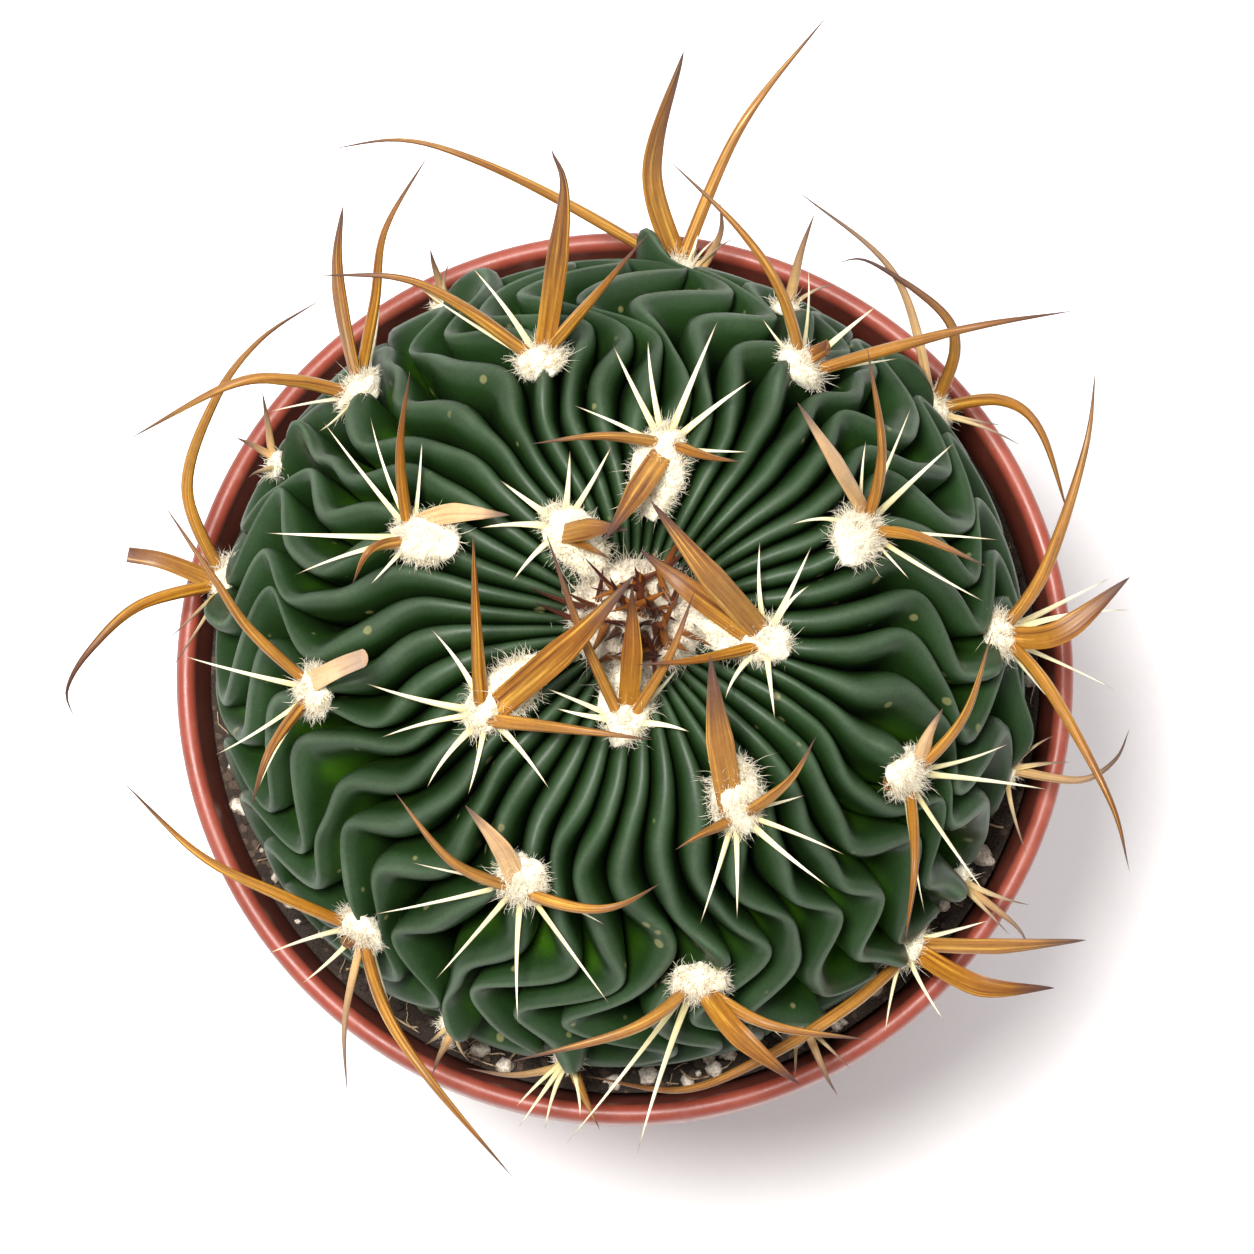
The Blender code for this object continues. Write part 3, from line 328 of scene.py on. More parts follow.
# %% Group: mottled tone
def start_group(name, inputs, outputs):
    tree = bpy.data.node_groups.new(name, "ShaderNodeTree")
    for title, value in inputs.items():
        kind = "NodeSocketColor" if isinstance(value, tuple) else "NodeSocketFloat"
        tree.interface.new_socket(title, in_out="INPUT", socket_type=kind).default_value = value
    for title, kind in outputs.items():
        tree.interface.new_socket(title, in_out="OUTPUT", socket_type=kind)
    return tree, tree.nodes.new("NodeGroupInput").outputs, tree.nodes.new("NodeGroupOutput").inputs


def mottled_tone(tree, colour, patch, patch_strength, grain, grain_strength):
    return grouped(tree, MOTTLE, Colour=colour, Patch_size_mm=patch, Patch_strength=patch_strength,
                   Grain_size_mm=grain, Grain_strength=grain_strength)


def speck_mask(tree, spacing, share, softness):
    return grouped(tree, SPECKS, Spacing_mm=spacing, Share=share, Softness=softness)["Mask"]


def grouped(tree, group, **inputs):
    made = tree.nodes.new("ShaderNodeGroup")
    made.node_tree = group
    plug(tree, made, inputs)
    return made.outputs


MOTTLE, given, result = start_group(
    "mottled tone",
    {"Colour": (0.5, 0.5, 0.5, 1), "Patch size mm": 6.0, "Patch strength": 0.2,
     "Grain size mm": 0.6, "Grain strength": 0.1},
    {"Colour": "NodeSocketColor", "Height": "NodeSocketFloat"})
place = box(MOTTLE, "TexCoord").outputs["Object"]
tones = []
for kind, detail in (("Patch", 3), ("Grain", 2)):
    scale = sums(MOTTLE, "DIVIDE", 1000.0, given[f"{kind} size mm"])
    cloud = box(MOTTLE, "TexNoise", Vector=place, Scale=scale, Detail=detail, Roughness=0.55).outputs["Fac"]
    centred = remap(MOTTLE, cloud, 0.3, 0.7, -1.0, 1.0, "LINEAR")
    tones.append((sums(MOTTLE, "MULTIPLY_ADD", centred, given[f"{kind} strength"], 1.0), cloud))
both = times(MOTTLE, tones[0][0], tones[1][0])
tone = box(MOTTLE, "CombineXYZ", X=both, Y=both, Z=both).outputs[0]
MOTTLE.links.new(blend(MOTTLE, 1.0, given["Colour"], tone, "MULTIPLY"), result["Colour"])
MOTTLE.links.new(tones[1][1], result["Height"])
print("group:", MOTTLE.name, [s.name for s in MOTTLE.interface.items_tree])

# %% Group: specks of dust and soil
SPECKS, given, result = start_group(
    "specks", {"Spacing mm": 2.0, "Share": 0.3, "Softness": 0.1}, {"Mask": "NodeSocketFloat"})
place = box(SPECKS, "TexCoord").outputs["Object"]
scale = sums(SPECKS, "DIVIDE", 1000.0, given["Spacing mm"])
cells = box(SPECKS, "TexVoronoi", Vector=place, Scale=scale, Randomness=1.0)
lone = box(SPECKS, "TexNoise", Vector=place, Scale=times(SPECKS, scale, 0.35), Detail=2.0).outputs["Fac"]
size = times(SPECKS, given["Share"], remap(SPECKS, lone, 0.4, 0.65, 0.0, 1.0))
edge = sums(SPECKS, "ADD", size, given["Softness"])
inside = sums(SPECKS, "DIVIDE", sums(SPECKS, "SUBTRACT", edge, cells.outputs["Distance"]), given["Softness"])
clamped = box(SPECKS, "Clamp", Value=inside).outputs[0]
SPECKS.links.new(times(SPECKS, clamped, remap(SPECKS, size, 0.0, 0.05)), result["Mask"])
print("group:", SPECKS.name)

# %% [markdown]
# ## The stem: the line of its rib crests
# Seen from the side the stem is a flattened globe with a woolly hollow in the middle of its top.
# One smooth line, turned round, is where all rib crests lie. Everything on the plant is placed by its
# length along this line, from the crown outwards, and by its rib number.
# A lathe alone would give a smooth ball, so the ribs come next as numbers that move this surface.

# %% Crest line
CREST = [
    (0, 103.6), (4.5, 104.6), (9.5, 107.2), (14.5, 108.0), (20, 106.9), (26, 103.4),
    (31.5, 97.8), (35.6, 91.0), (37.7, 84.0), (37.6, 77.5), (35.4, 71.5), (31.5, 67.0),
    (26, 64.2), (19, 62.6), (12, 61.9), (7.5, 61.0),
]
RIBS = 44
STEM_CENTRE = (-0.4, 0.4)
CROWN_LEAN = (1.8, 1.3)
EQUATOR = 81.0
CROWN_RISE = 27.0


def smooth_through(points, count):
    """A Catmull-Rom curve through points, at count even steps of its length."""
    p = np.array(points, float)
    p = np.vstack([2 * p[0] - p[1], p, 2 * p[-1] - p[-2]])
    rows = []
    for k in range(1, len(p) - 2):
        for t in np.linspace(0, 1, 24, endpoint=False):
            a = 2 * p[k]
            b = p[k + 1] - p[k - 1]
            c = 2 * p[k - 1] - 5 * p[k] + 4 * p[k + 1] - p[k + 2]
            d = 3 * p[k] - p[k - 1] - 3 * p[k + 1] + p[k + 2]
            rows.append(0.5 * (a + b * t + c * t**2 + d * t**3))
    rows.append(p[-2])
    rows = np.array(rows)
    length = np.concatenate([[0], np.cumsum(np.linalg.norm(np.diff(rows, axis=0), axis=1))])
    even = np.linspace(0, length[-1], count)
    return even, np.stack([np.interp(even, length, rows[:, k]) for k in range(rows.shape[1])], 1)


CREST_AT, CREST_LINE = smooth_through(CREST, 360)
crest_way = np.gradient(CREST_LINE, axis=0)
crest_way /= np.linalg.norm(crest_way, axis=1)[:, None]
CREST_NORMAL = np.stack([-crest_way[:, 1], crest_way[:, 0]], 1)
WIDEST = int(np.argmax(CREST_LINE[:, 0]))


def crest_at(length):
    """Radius, height and outward normal of the crest line at a length from the crown."""
    return [np.interp(length, CREST_AT, column) for column in (*CREST_LINE.T, *CREST_NORMAL.T)]


def stem_centre(height):
    """The crown leans a little, so the middle of the stem shifts with height."""
    share = np.clip((np.asarray(height, float) - EQUATOR) / CROWN_RISE, 0, 1) ** 2
    return STEM_CENTRE[0] + CROWN_LEAN[0] * share, STEM_CENTRE[1] + CROWN_LEAN[1] * share


print("crest line", round(float(CREST_AT[-1]), 1), "mm, widest at", round(float(CREST_AT[WIDEST]), 1))

# %% [markdown]
# ## The stem: waves of the ribs
# The ribs are thin folds, crowded together like pleats, and they wave more and more towards the sides.
# Neighbours wave almost in step, because they push against each other while they grow.
# So the sideways shift is one slow wave that changes a little from rib to rib, plus a small ruffle of
# each rib's own. The ribs also bend aside so that one of them runs through every areole.

# %% Sideways shift of the ribs
WAVE_AT = ([6, 14, 24, 34, 44, 60, 70], [0, 0.3, 1.2, 2.6, 3.6, 3.2, 0])
RUFFLE_AT = ([18, 38, 60, 68], [0, 1, 1, 0])
RUFFLES = ((9.0, 0.85), (21.0, 1.1))
RUFFLE_PHASES = np.random.default_rng(11).uniform(0, 2 * math.pi, (len(RUFFLES), RIBS))


def wave(x, length):
    """Sideways shift of the rib crests in mm."""
    turn = 2 * math.pi * np.asarray(x, float) / RIBS
    phase = 1.7 * np.sin(2 * turn + 0.7) + 0.9 * np.sin(5 * turn + 2.1)
    strength = np.interp(length, *WAVE_AT) * (1 + 0.3 * np.sin(4 * turn + 1.0))
    turns = length / 34 + length**2 / 3000
    low = np.floor(x).astype(int) % RIBS
    share = np.asarray(x, float) - np.floor(x)
    share = share * share * (3 - 2 * share)
    ruffle = 0
    for (long, height), phases in zip(RUFFLES, RUFFLE_PHASES):
        sides = [np.sin(2 * math.pi * length / long + phases[k % RIBS]) for k in (low, low + 1)]
        ruffle = ruffle + height * (sides[0] * (1 - share) + sides[1] * share)
    return strength * np.sin(2 * math.pi * turns + phase) + np.interp(length, *RUFFLE_AT) * ruffle


def rib_pitch(length):
    """Ribs per mm round the stem."""
    return RIBS / (2 * math.pi * np.maximum(crest_at(length)[0], 1))


def round_gap(a, b):
    """Ribs from b to a the short way round."""
    return (np.asarray(a, float) - b + RIBS / 2) % RIBS - RIBS / 2


# %% [markdown]
# ## Areoles and spines, as the photograph shows them
# An areole is the woolly cushion that spines grow from, which all cacti have.
# Each entry below has its place in the photograph, how far its wool reaches towards the crown, its
# strong spines from root to tip, and the tips of its thin radial spines.
# The heights of the tips are looked up in the solid model, so a spine here lies just where its solid is.

# %% Table of areoles
AREOLES = [
    ((628, 243), 1, [
      ("round", 1.3, 7, 3, [(612, 245), (560, 200), (470, 158), (400, 140), (325, 150)]),
      ("flat", 2.7, 16, 1, [(635, 240), (650, 170), (684, 50)]),
      ("round", 1.4, 13, 1, [(652, 243), (740, 128), (830, 12)])],
      [(700, 224), (716, 238), (702, 256)]),
    ((358, 390), 1, [
      ("flat", 2.2, 13, 1, [(355, 380), (345, 320), (338, 260), (343, 205)]),
      ("round", 1.3, 13, 2, [(368, 380), (375, 300), (385, 230), (430, 152)]),
      ("round", 1.4, 4, 4, [(348, 392), (290, 380), (230, 385), (127, 440)])],
      [(265, 413), (380, 300), (318, 432)]),
    ((541, 358), 1, [
      ("flat", 2.4, 18, 1, [(545, 350), (565, 200), (551, 148)]),
      ("round", 1.4, 10, 3, [(528, 350), (460, 305), (400, 278), (315, 275)]),
      ("round", 1.4, 10, 2, [(555, 345), (600, 290), (650, 232)])],
      [(415, 285), (470, 265), (572, 215)]),
    ((803, 365), 1, [
      ("round", 1.3, 13, 3, [(797, 355), (780, 290), (740, 230), (667, 158)]),
      ("stub", 2.2, 3, 0, [(808, 358), (828, 348)]),
      ("round", 1.4, 7, 3, [(818, 367), (960, 330), (1078, 310)])],
      [(762, 318), (768, 265), (808, 265), (878, 305), (900, 358)]),
    ((948, 395), 0, [
      ("round", 1.3, 8, 3, [(952, 390), (955, 350), (940, 310), (870, 262), (835, 263)]),
      ("thin", 1.1, 9, 2, [(938, 385), (895, 275), (793, 187)]),
      ("round", 1.3, 2, 3, [(955, 400), (1000, 400), (1040, 430), (1070, 520)])],
      [(1020, 445), (1000, 425)]),
    ((1003, 635), 0, [
      ("round", 1.5, 8, 2, [(1010, 625), (1045, 570), (1085, 450), (1096, 367)]),
      ("flat", 2.2, 5, 2, [(1012, 635), (1060, 632), (1130, 577)]),
      ("round", 1.4, 2, 4, [(1010, 645), (1050, 690), (1110, 800), (1130, 873)])],
      [(1110, 578), (1115, 690), (1050, 700), (1040, 580), (1130, 610)]),
    ((865, 527), 4, [
      ("flat", 1.9, 13, 1, [(868, 515), (830, 455), (797, 402)]),
      ("round", 1.3, 14, 2, [(873, 515), (882, 450), (867, 345)]),
      ("round", 1.3, 6, 2, [(878, 533), (920, 537), (988, 567)])],
      [(866, 440), (912, 405), (955, 442), (1000, 540), (985, 602), (910, 580), (790, 525)]),
    ((665, 447), 5, [
      ("round", 1.2, 8, 2, [(658, 445), (600, 436), (530, 444)]),
      ("round", 1.2, 6, 1, [(680, 450), (710, 457), (742, 462)]),
      ("flat", 2.2, 11, 1, [(662, 460), (632, 500), (605, 540)])],
      [(573, 405), (613, 345), (648, 340), (718, 320), (752, 380), (750, 452)]),
    ((565, 527), 3, [
      ("flat", 2.0, 10, 1, [(562, 535), (600, 528), (628, 530)]),
      ("round", 1.2, 11, 1, [(566, 538), (590, 548), (612, 560)])],
      [(500, 480), (570, 450), (612, 445), (480, 528), (512, 582)]),
    ((765, 640), 4, [
      ("flat", 2.4, 15, 2, [(760, 632), (705, 570), (650, 500)]),
      ("flat", 2.2, 12, 2, [(748, 638), (690, 590), (640, 550)]),
      ("round", 1.2, 6, 1, [(752, 652), (695, 660), (635, 665)])],
      [(760, 540), (812, 545), (810, 585), (775, 720), (725, 700)]),
    ((625, 720), 3, [
      ("flat", 1.9, 13, 1, [(628, 708), (632, 650), (632, 585)]),
      ("round", 1.2, 12, 2, [(614, 710), (580, 630), (545, 530)]),
      ("round", 1.2, 10, 1, [(640, 712), (670, 655), (695, 590)])],
      [(545, 688), (555, 708), (680, 665), (690, 732)]),
    ((487, 712), 5, [
      ("flat", 2.6, 14, 2, [(507, 705), (575, 640), (635, 575)]),
      ("round", 1.5, 13, 1, [(483, 698), (476, 620), (473, 530)]),
      ("round", 1.4, 7, 2, [(498, 722), (560, 728), (655, 740)])],
      [(430, 628), (365, 683), (380, 738), (427, 788), (468, 795), (550, 790)]),
    ((412, 535), 4, [
      ("round", 1.3, 11, 1, [(405, 520), (400, 450), (410, 370)]),
      ("flat", 1.9, 7, 1, [(415, 530), (450, 514), (510, 515)]),
      ("round", 1.3, 3, 3, [(405, 543), (370, 550), (352, 585)])],
      [(322, 420), (370, 415), (422, 440), (265, 533), (295, 575), (370, 585)]),
    ((312, 690), 1, [
      ("round", 1.3, 9, 2, [(302, 680), (250, 630), (215, 580), (163, 503)]),
      ("stub", 2.2, 5, 0, [(318, 685), (340, 668), (365, 658)]),
      ("round", 1.3, 3, 3, [(302, 708), (270, 750), (250, 810)])],
      [(180, 655), (215, 755), (258, 790)]),
    ((207, 575), 0, [
      ("round", 1.4, 9, 3, [(205, 568), (187, 490), (215, 400), (260, 340), (325, 297)]),
      ("stub", 2.0, 3, 1, [(200, 580), (165, 562), (128, 555)]),
      ("round", 1.4, 1, 3, [(200, 583), (140, 605), (90, 650), (67, 690), (75, 720)])],
      [(168, 640), (172, 668)]),
    ((360, 930), 1, [
      ("round", 1.4, 4, 3, [(352, 922), (280, 895), (200, 855), (121, 780)]),
      ("stub", 1.6, 2, 0, [(356, 935), (345, 945)]),
      ("round", 1.4, 4, 4, [(368, 937), (385, 1010), (430, 1080), (515, 1180)]),
      ("thin", 0.9, 3, 1, [(362, 938), (345, 1020), (347, 1095)])],
      [(265, 955), (390, 1005), (300, 985)]),
    ((520, 885), 2, [
      ("round", 1.3, 9, 2, [(505, 886), (450, 860), (393, 790)]),
      ("flat", 1.9, 9, 1, [(525, 877), (500, 845), (465, 805)]),
      ("round", 1.4, 5, 3, [(532, 890), (580, 908), (620, 905), (663, 882)])],
      [(410, 862), (370, 915), (435, 980), (518, 1025), (610, 1005), (605, 925)]),
    ((697, 985), 1, [
      ("round", 1.4, 4, 3, [(686, 995), (630, 1030), (510, 1062)]),
      ("flat", 2.2, 4, 3, [(705, 993), (740, 1035), (800, 1085)]),
      ("round", 1.4, 2, 2, [(713, 990), (770, 1025), (870, 1040)])],
      [(565, 1145), (637, 1155), (785, 1040)]),
    ((913, 950), 0, [
      ("flat", 1.9, 5, 2, [(922, 946), (1000, 945), (1087, 940)]),
      ("flat", 2.2, 3, 2, [(922, 955), (980, 985), (1055, 988)]),
      ("round", 1.4, 3, 9, [(905, 958), (850, 1005), (760, 1060), (680, 1090), (580, 1075)])],
      [(945, 1022), (885, 1035), (990, 920)]),
    ((738, 812), 4, [
      ("flat", 2.5, 12, 1, [(727, 803), (718, 730), (710, 655)]),
      ("round", 1.3, 9, 2, [(750, 806), (790, 780), (817, 735)]),
      ("round", 1.2, 5, 1, [(728, 820), (700, 835), (675, 850)])],
      [(805, 795), (845, 855), (830, 888), (737, 920), (700, 925)]),
    ((910, 775), 2, [
      ("stub", 2.0, 2, 0, [(905, 778), (885, 782)]),
      ("flat", 1.6, 6, 1, [(917, 770), (925, 740), (943, 708)]),
      ("round", 1.3, 10, 2, [(925, 768), (965, 715), (993, 630)]),
      ("round", 1.2, 2, 3, [(912, 788), (915, 860), (905, 945)])],
      [(1010, 743), (1050, 790), (990, 900), (925, 915)]),
    ((568, 1072), 0, [
      ("round", 1.1, 3, 1, [(572, 1082), (588, 1105), (600, 1130)]),
      ("thin", 0.9, 3, 1, [(560, 1075), (515, 1075), (465, 1068)])],
      [(515, 1108), (518, 1128), (545, 1130), (580, 1118)]),
    ((1033, 778), 0, [
      ("thin", 1.0, 3, 1, [(1037, 778), (1080, 780), (1115, 760), (1130, 728)])],
      [(1055, 735), (1070, 762), (1027, 855)]),
    ((996, 905), 0, [
      ("thin", 0.9, 3, 1, [(998, 908), (1015, 925), (1030, 950)])],
      [(1030, 905), (1010, 935)]),
    ((718, 268), 0, [("thin", 1.0, 6, 0, [(718, 262), (720, 235), (720, 200)])], [(738, 235), (700, 240)]),
    ((788, 305), 0, [("thin", 1.1, 6, 0, [(790, 298), (800, 255), (815, 212)])], [(835, 285)]),
    ((436, 290), 0, [("thin", 1.0, 5, 0, [(438, 284), (434, 265), (430, 248)])], [(450, 262), (412, 275)]),
    ((275, 460), 0, [
      ("thin", 0.9, 4, 0, [(273, 455), (268, 425), (262, 390)]),
      ("thin", 0.9, 3, 0, [(268, 455), (252, 445), (235, 437)])],
      [(248, 478)]),
    ((452, 1030), 0, [
      ("thin", 0.9, 2, 0, [(450, 1036), (440, 1055), (432, 1075)])],
      [(470, 1062), (425, 1045)]),
    ((812, 1052), 0, [
      ("thin", 0.9, 2, 0, [(815, 1058), (826, 1075), (838, 1096)])],
      [(850, 1068), (795, 1080)]),
]
print("areoles:", len(AREOLES), "strong spines:", sum(len(row[2]) for row in AREOLES),
      "radials:", sum(len(row[3]) for row in AREOLES))

# %% From a pixel to a place on the plant
FIRST_GUESS = 95.0
TRIES = 40


def over_pot(pixel, height):
    """The point at that height which the photograph shows at that pixel."""
    right = (pixel[0] - PHOTO_MIDDLE[0]) / PHOTO_SCALE
    up = (PHOTO_MIDDLE[1] - pixel[1]) / PHOTO_SCALE
    seen = np.array([VIEW_POINT[0] + right, VIEW_POINT[1] + up * math.cos(VIEW_TILT),
                     POT_HEIGHT + up * math.sin(VIEW_TILT)])
    share = (height - eye[2]) / (seen[2] - eye[2])
    return np.array(eye) + share * (seen - np.array(eye))


def find_areoles():
    """For each areole its rib, its length from the crown, and how far its rib is pulled to pass it."""
    found = []
    top_radius, top_length = CREST_LINE[: WIDEST + 1, 0], CREST_AT[: WIDEST + 1]
    for pixel, *_ in AREOLES:
        height = FIRST_GUESS
        for _ in range(TRIES):
            place = over_pot(pixel, height)
            centre = stem_centre(height)
            radius = math.hypot(place[0] - centre[0], place[1] - centre[1])
            length = float(np.interp(radius, top_radius, top_length))
            height = 0.5 * height + 0.5 * float(crest_at(length)[1])
        turn = math.atan2(place[1] - centre[1], place[0] - centre[0])
        x = turn * RIBS / (2 * math.pi) % RIBS
        ribs = np.arange(RIBS)
        gaps = round_gap(x, ribs + wave(ribs, length) * rib_pitch(length))
        rib = int(np.argmin(abs(gaps)))
        found.append((rib, length, float(gaps[rib])))
    return found


FOUND = find_areoles()
print("first areole is on rib", FOUND[0][0], "at", round(FOUND[0][1], 1), "mm from the crown")

# %% [markdown]
# ## The stem: from shift and depth to a surface
# A point of the stem is told by its rib position, its length from the crown and a share, which is 1 on a
# crest and 0 in a groove. The crest itself is a rounded edge and the flanks fall steeply beside it.
# Points are packed close where the edge curves and thinly down the flanks, which keeps the mesh light.

# %% Surface of the ribs
DEPTH_AT = ([0, 5, 10, 16, 25, 35, 46, 56, 64, 72, 80], [0, 0.5, 1.3, 2.6, 4.8, 7.0, 8.5, 8.0, 6.0, 2.0, 0])
CREST_WIDTH_AT = ([0, 10, 20, 30, 40, 50, 70], [0.35, 0.37, 0.33, 0.24, 0.17, 0.14, 0.2])
PULL_RIBS, PULL_LENGTH = 1.3, 6
BUMP_RIBS, BUMP_LENGTH = 0.45, 2.2
PEAK, PEAK_BEFORE = 1.5, 3.6
DIP, DIP_BEYOND = 1.1, 1.2
MOST_CREST = 0.43
MOST_WIDER = 1.8
ROOT_SHARE = 0.4


def pull(x, length):
    """Shift in ribs that leads the ribs through the areoles."""
    total = 0 * np.asarray(x, float)
    for rib, at, gap in FOUND:
        beside, along = round_gap(x, rib) / PULL_RIBS, (length - at) / PULL_LENGTH
        total = total + gap * np.exp(-(beside**2) - along**2)
    return total


def bell(offset, width):
    return np.exp(-((offset / width) ** 2))


def crest_bump(x, length):
    """A peak on the crown side of each areole and a dip beyond it."""
    total = 0 * np.asarray(x, float)
    for rib, at, _ in FOUND:
        near = np.exp(-((round_gap(x, rib) / BUMP_RIBS) ** 4))
        beyond = length - at
        peak = PEAK * bell(beyond + PEAK_BEFORE, BUMP_LENGTH) - DIP * bell(beyond - DIP_BEYOND, BUMP_LENGTH)
        total = total + near * peak * np.interp(at, [10, 24], [0.3, 1])
    return total


def stem_point(x, length, share):
    """A point of the stem: share is 0 in a groove and 1 on a crest."""
    radius, height, out, up = crest_at(length)
    lift = (share - 1) * np.interp(length, *DEPTH_AT) + crest_bump(x, length) * share
    lean = ROOT_SHARE + (1 - ROOT_SHARE) * share
    turn = 2 * math.pi * (x + wave(x, length) * lean * rib_pitch(length) + pull(x, length)) / RIBS
    radius, height = radius + out * lift, height + up * lift
    return round_points(stem_centre(height), radius, turn, height)


# %% Columns across one rib
CREST_SPOTS = np.array([-1, -0.55, 0, 0.55, 1])
FLANK_SPOTS = np.array([0.14, 0.36, 0.60, 0.82, 0.95])
FLANK_CURVE_AT = ([8, 25, 45, 65], [0.5, 0.55, 0.7, 0.8])
CREST_DROP_AT = ([8, 20, 34, 50], [0.34, 0.26, 0.14, 0.08])
STEM_ROWS = 136
FIRST_ROW, LAST_ROW = 3.0, 78.0


def rib_columns(half, length):
    """Places across a rib, from groove to groove, and the share at each. half is half the crest's width."""
    flank = half[:, None] + (0.5 - half[:, None]) * FLANK_SPOTS
    crest = half[:, None] * CREST_SPOTS
    groove = np.full((len(half), 1), -0.5)
    spots = np.concatenate([groove, -flank[:, ::-1], crest, flank], 1)
    size = abs(spots)
    drop = np.interp(length, *CREST_DROP_AT)
    top = 1 - drop * np.clip(size / half[:, None], 0, 1) ** 2.2
    side = np.clip((size - half[:, None]) / (0.5 - half[:, None]), 0, 1)
    curve = np.interp(length, *FLANK_CURVE_AT)
    return spots, np.where(size <= half[:, None] + 1e-9, top, (1 - drop) * (1 - side) ** curve)


def stem_grid():
    """Rows of points round the stem, with the share, the length and the place across the crest."""
    rows = []
    ribs = np.arange(RIBS)
    for length in np.linspace(FIRST_ROW, LAST_ROW, STEM_ROWS):
        steep = abs(wave(ribs, length + 0.5) - wave(ribs, length - 0.5))
        wider = np.minimum(np.sqrt(1 + steep**2), MOST_WIDER)
        half = np.minimum(np.interp(length, *CREST_WIDTH_AT) * wider, MOST_CREST)
        spots, share = rib_columns(half, length)
        x = (ribs[:, None] + spots).ravel()
        edge = (abs(spots) / half[:, None]).ravel()
        rows.append((stem_point(x, length, share.ravel()), share.ravel(), np.full(len(x), length), edge))
    return [np.array(column) for column in zip(*rows)]


GRID, SHARES, LENGTHS, EDGES = stem_grid()
print("stem grid:", GRID.shape[0], "rows of", GRID.shape[1])

# %% [markdown]
# ## The stem's skin
# The skin is a waxy dark green. A greyish bloom lies on the crests, where it isn't rubbed off, and it is
# painted lighter there as a highlight too. A thin pale line, a painted highlight, follows the outermost edge
# of each fold. The flanks are a cleaner and warmer green, with a painted glow in patches where light shines
# through the thin fold, and painted shade makes them nearly black down in the grooves.
# The masks come from the marks that the mesh carries: the share, the length and the edge.
# The bloom could also be painted by the angle of the surface, but then it would not follow the folds.

# %% Finish: waxy green skin
def skin_finish():
    made, tree, shader = start_finish("waxy green skin", IOR=1.45, Specular_IOR_Level=0.26,
                                      Subsurface_Weight=0.06, Subsurface_Scale=0.0012)
    shader.inputs["Subsurface Radius"].default_value = (0.35, 1.0, 0.25)
    share, length, edge = mark(tree, "share"), mark(tree, "length"), mark(tree, "edge")
    place = box(tree, "TexCoord").outputs["Object"]
    patches = box(tree, "TexNoise", Vector=place, Scale=60.0, Detail=2.0).outputs["Fac"]
    # Painted shade: the flank colour falls to nearly black towards the groove.
    flank = ramp(tree, share, [(0.0, (0.0006, 0.0013, 0.0005)), (0.40, (0.0033, 0.0095, 0.0018)),
                               (0.70, (0.0085, 0.024, 0.0048)), (0.92, (0.0125, 0.033, 0.0090))])
    # Painted glow: a vivid green in patches on the flanks, standing for light shining through the thin fold.
    vivid = times(tree, remap(tree, patches, 0.48, 0.62), remap(tree, length, 24, 36))
    vivid = times(tree, vivid, remap(tree, edge, 1.05, 1.7))
    colour = blend(tree, times(tree, vivid, 0.85), flank, (0.028, 0.088, 0.004, 1))
    # Bloom and painted highlight: a grey green laid on the middle of each crest.
    bloom_cloud = box(tree, "TexNoise", Vector=place, Scale=160.0, Detail=4.0, Roughness=0.6).outputs["Fac"]
    bloom_and_highlight = times(tree, remap(tree, edge, 1.15, 0.15), remap(tree, bloom_cloud, 0.25, 0.7, 0.25, 0.85))
    colour = blend(tree, bloom_and_highlight, colour, (0.034, 0.054, 0.031, 1))
    # Painted highlight: a thin pale line along the middle of each crest, stronger further from the crown.
    line = times(tree, remap(tree, edge, 0.5, 0.0), remap(tree, length, 24, 46, 0.10, 0.36))
    colour = blend(tree, line, colour, (0.125, 0.18, 0.11, 1))
    scars = speck_mask(tree, 3.4, 0.12, 0.05)
    colour = blend(tree, times(tree, scars, 0.6), colour, (0.20, 0.19, 0.08, 1))
    mottled = mottled_tone(tree, colour, 7.0, 0.16, 0.35, 0.10)
    paint(tree, shader, mottled["Colour"], remap(tree, bloom_and_highlight, 0.0, 0.8, 0.38, 0.50, "LINEAR"))
    rough_to(tree, shader, mottled["Height"], 0.05, 0.35)
    return made


SKIN = skin_finish()
print("finish:", SKIN.name, len(SKIN.node_tree.nodes), "nodes")

# %% Build the stem
NECK = [(6.8, 60.6), (4.5, 60.0), (3.6, 46.0)]


def make_stem():
    rows, around = GRID.shape[:2]
    turn = 2 * math.pi * np.arange(around) / around
    neck = [round_points(STEM_CENTRE, radius, turn, height) for radius, height in NECK]
    middle = np.array([[*stem_centre(CREST[0][1]), CREST[0][1]], [*STEM_CENTRE, NECK[-1][1]]])
    points = np.concatenate([GRID.reshape(-1, 3), *neck, middle])
    ring = np.arange(around)
    after = (ring + 1) % around
    top = len(points) - 2
    base = top - around
    crown = np.stack([ring, after, np.full(around, top)], 1)
    foot = np.stack([base + after, base + ring, np.full(around, top + 1)], 1)
    spare = np.zeros(len(points) - rows * around)
    marks = {}
    for name, grid, last in (("share", SHARES, 0), ("length", LENGTHS, LAST_ROW), ("edge", EDGES, 1)):
        marks[name] = np.concatenate([grid.ravel(), spare + last])
    walls = ring_walls(rows + len(NECK), around, flipped=True)
    return piece_from("stem_ribs", points, [walls, crown, foot], SKIN, marks)


stem = make_stem()
settle(stem, "stem", "stem")

# %% [markdown]
# ## Spines
# A brain cactus carries three kinds of spine. The flat papery one in the middle of an areole is a blade
# with a shallow gutter, the strong ones beside it are round and bent, and the radials are thin needles.
# All three are tubes along a smooth curve: only the cross-section and the taper differ.
# A curve object with a bevel would do for the round ones, but it can't make the blade or carry marks.

# %% Where a spine runs
PAD_HALF = (1.9, 2.0, 1.3)
PAD_LIFT = 0.35
ROOT_SPREAD = 0.9
TRY_STEP = 0.7
MOST_LIFT = 13
MISSED = 0.3
FACE_UP = 1.2


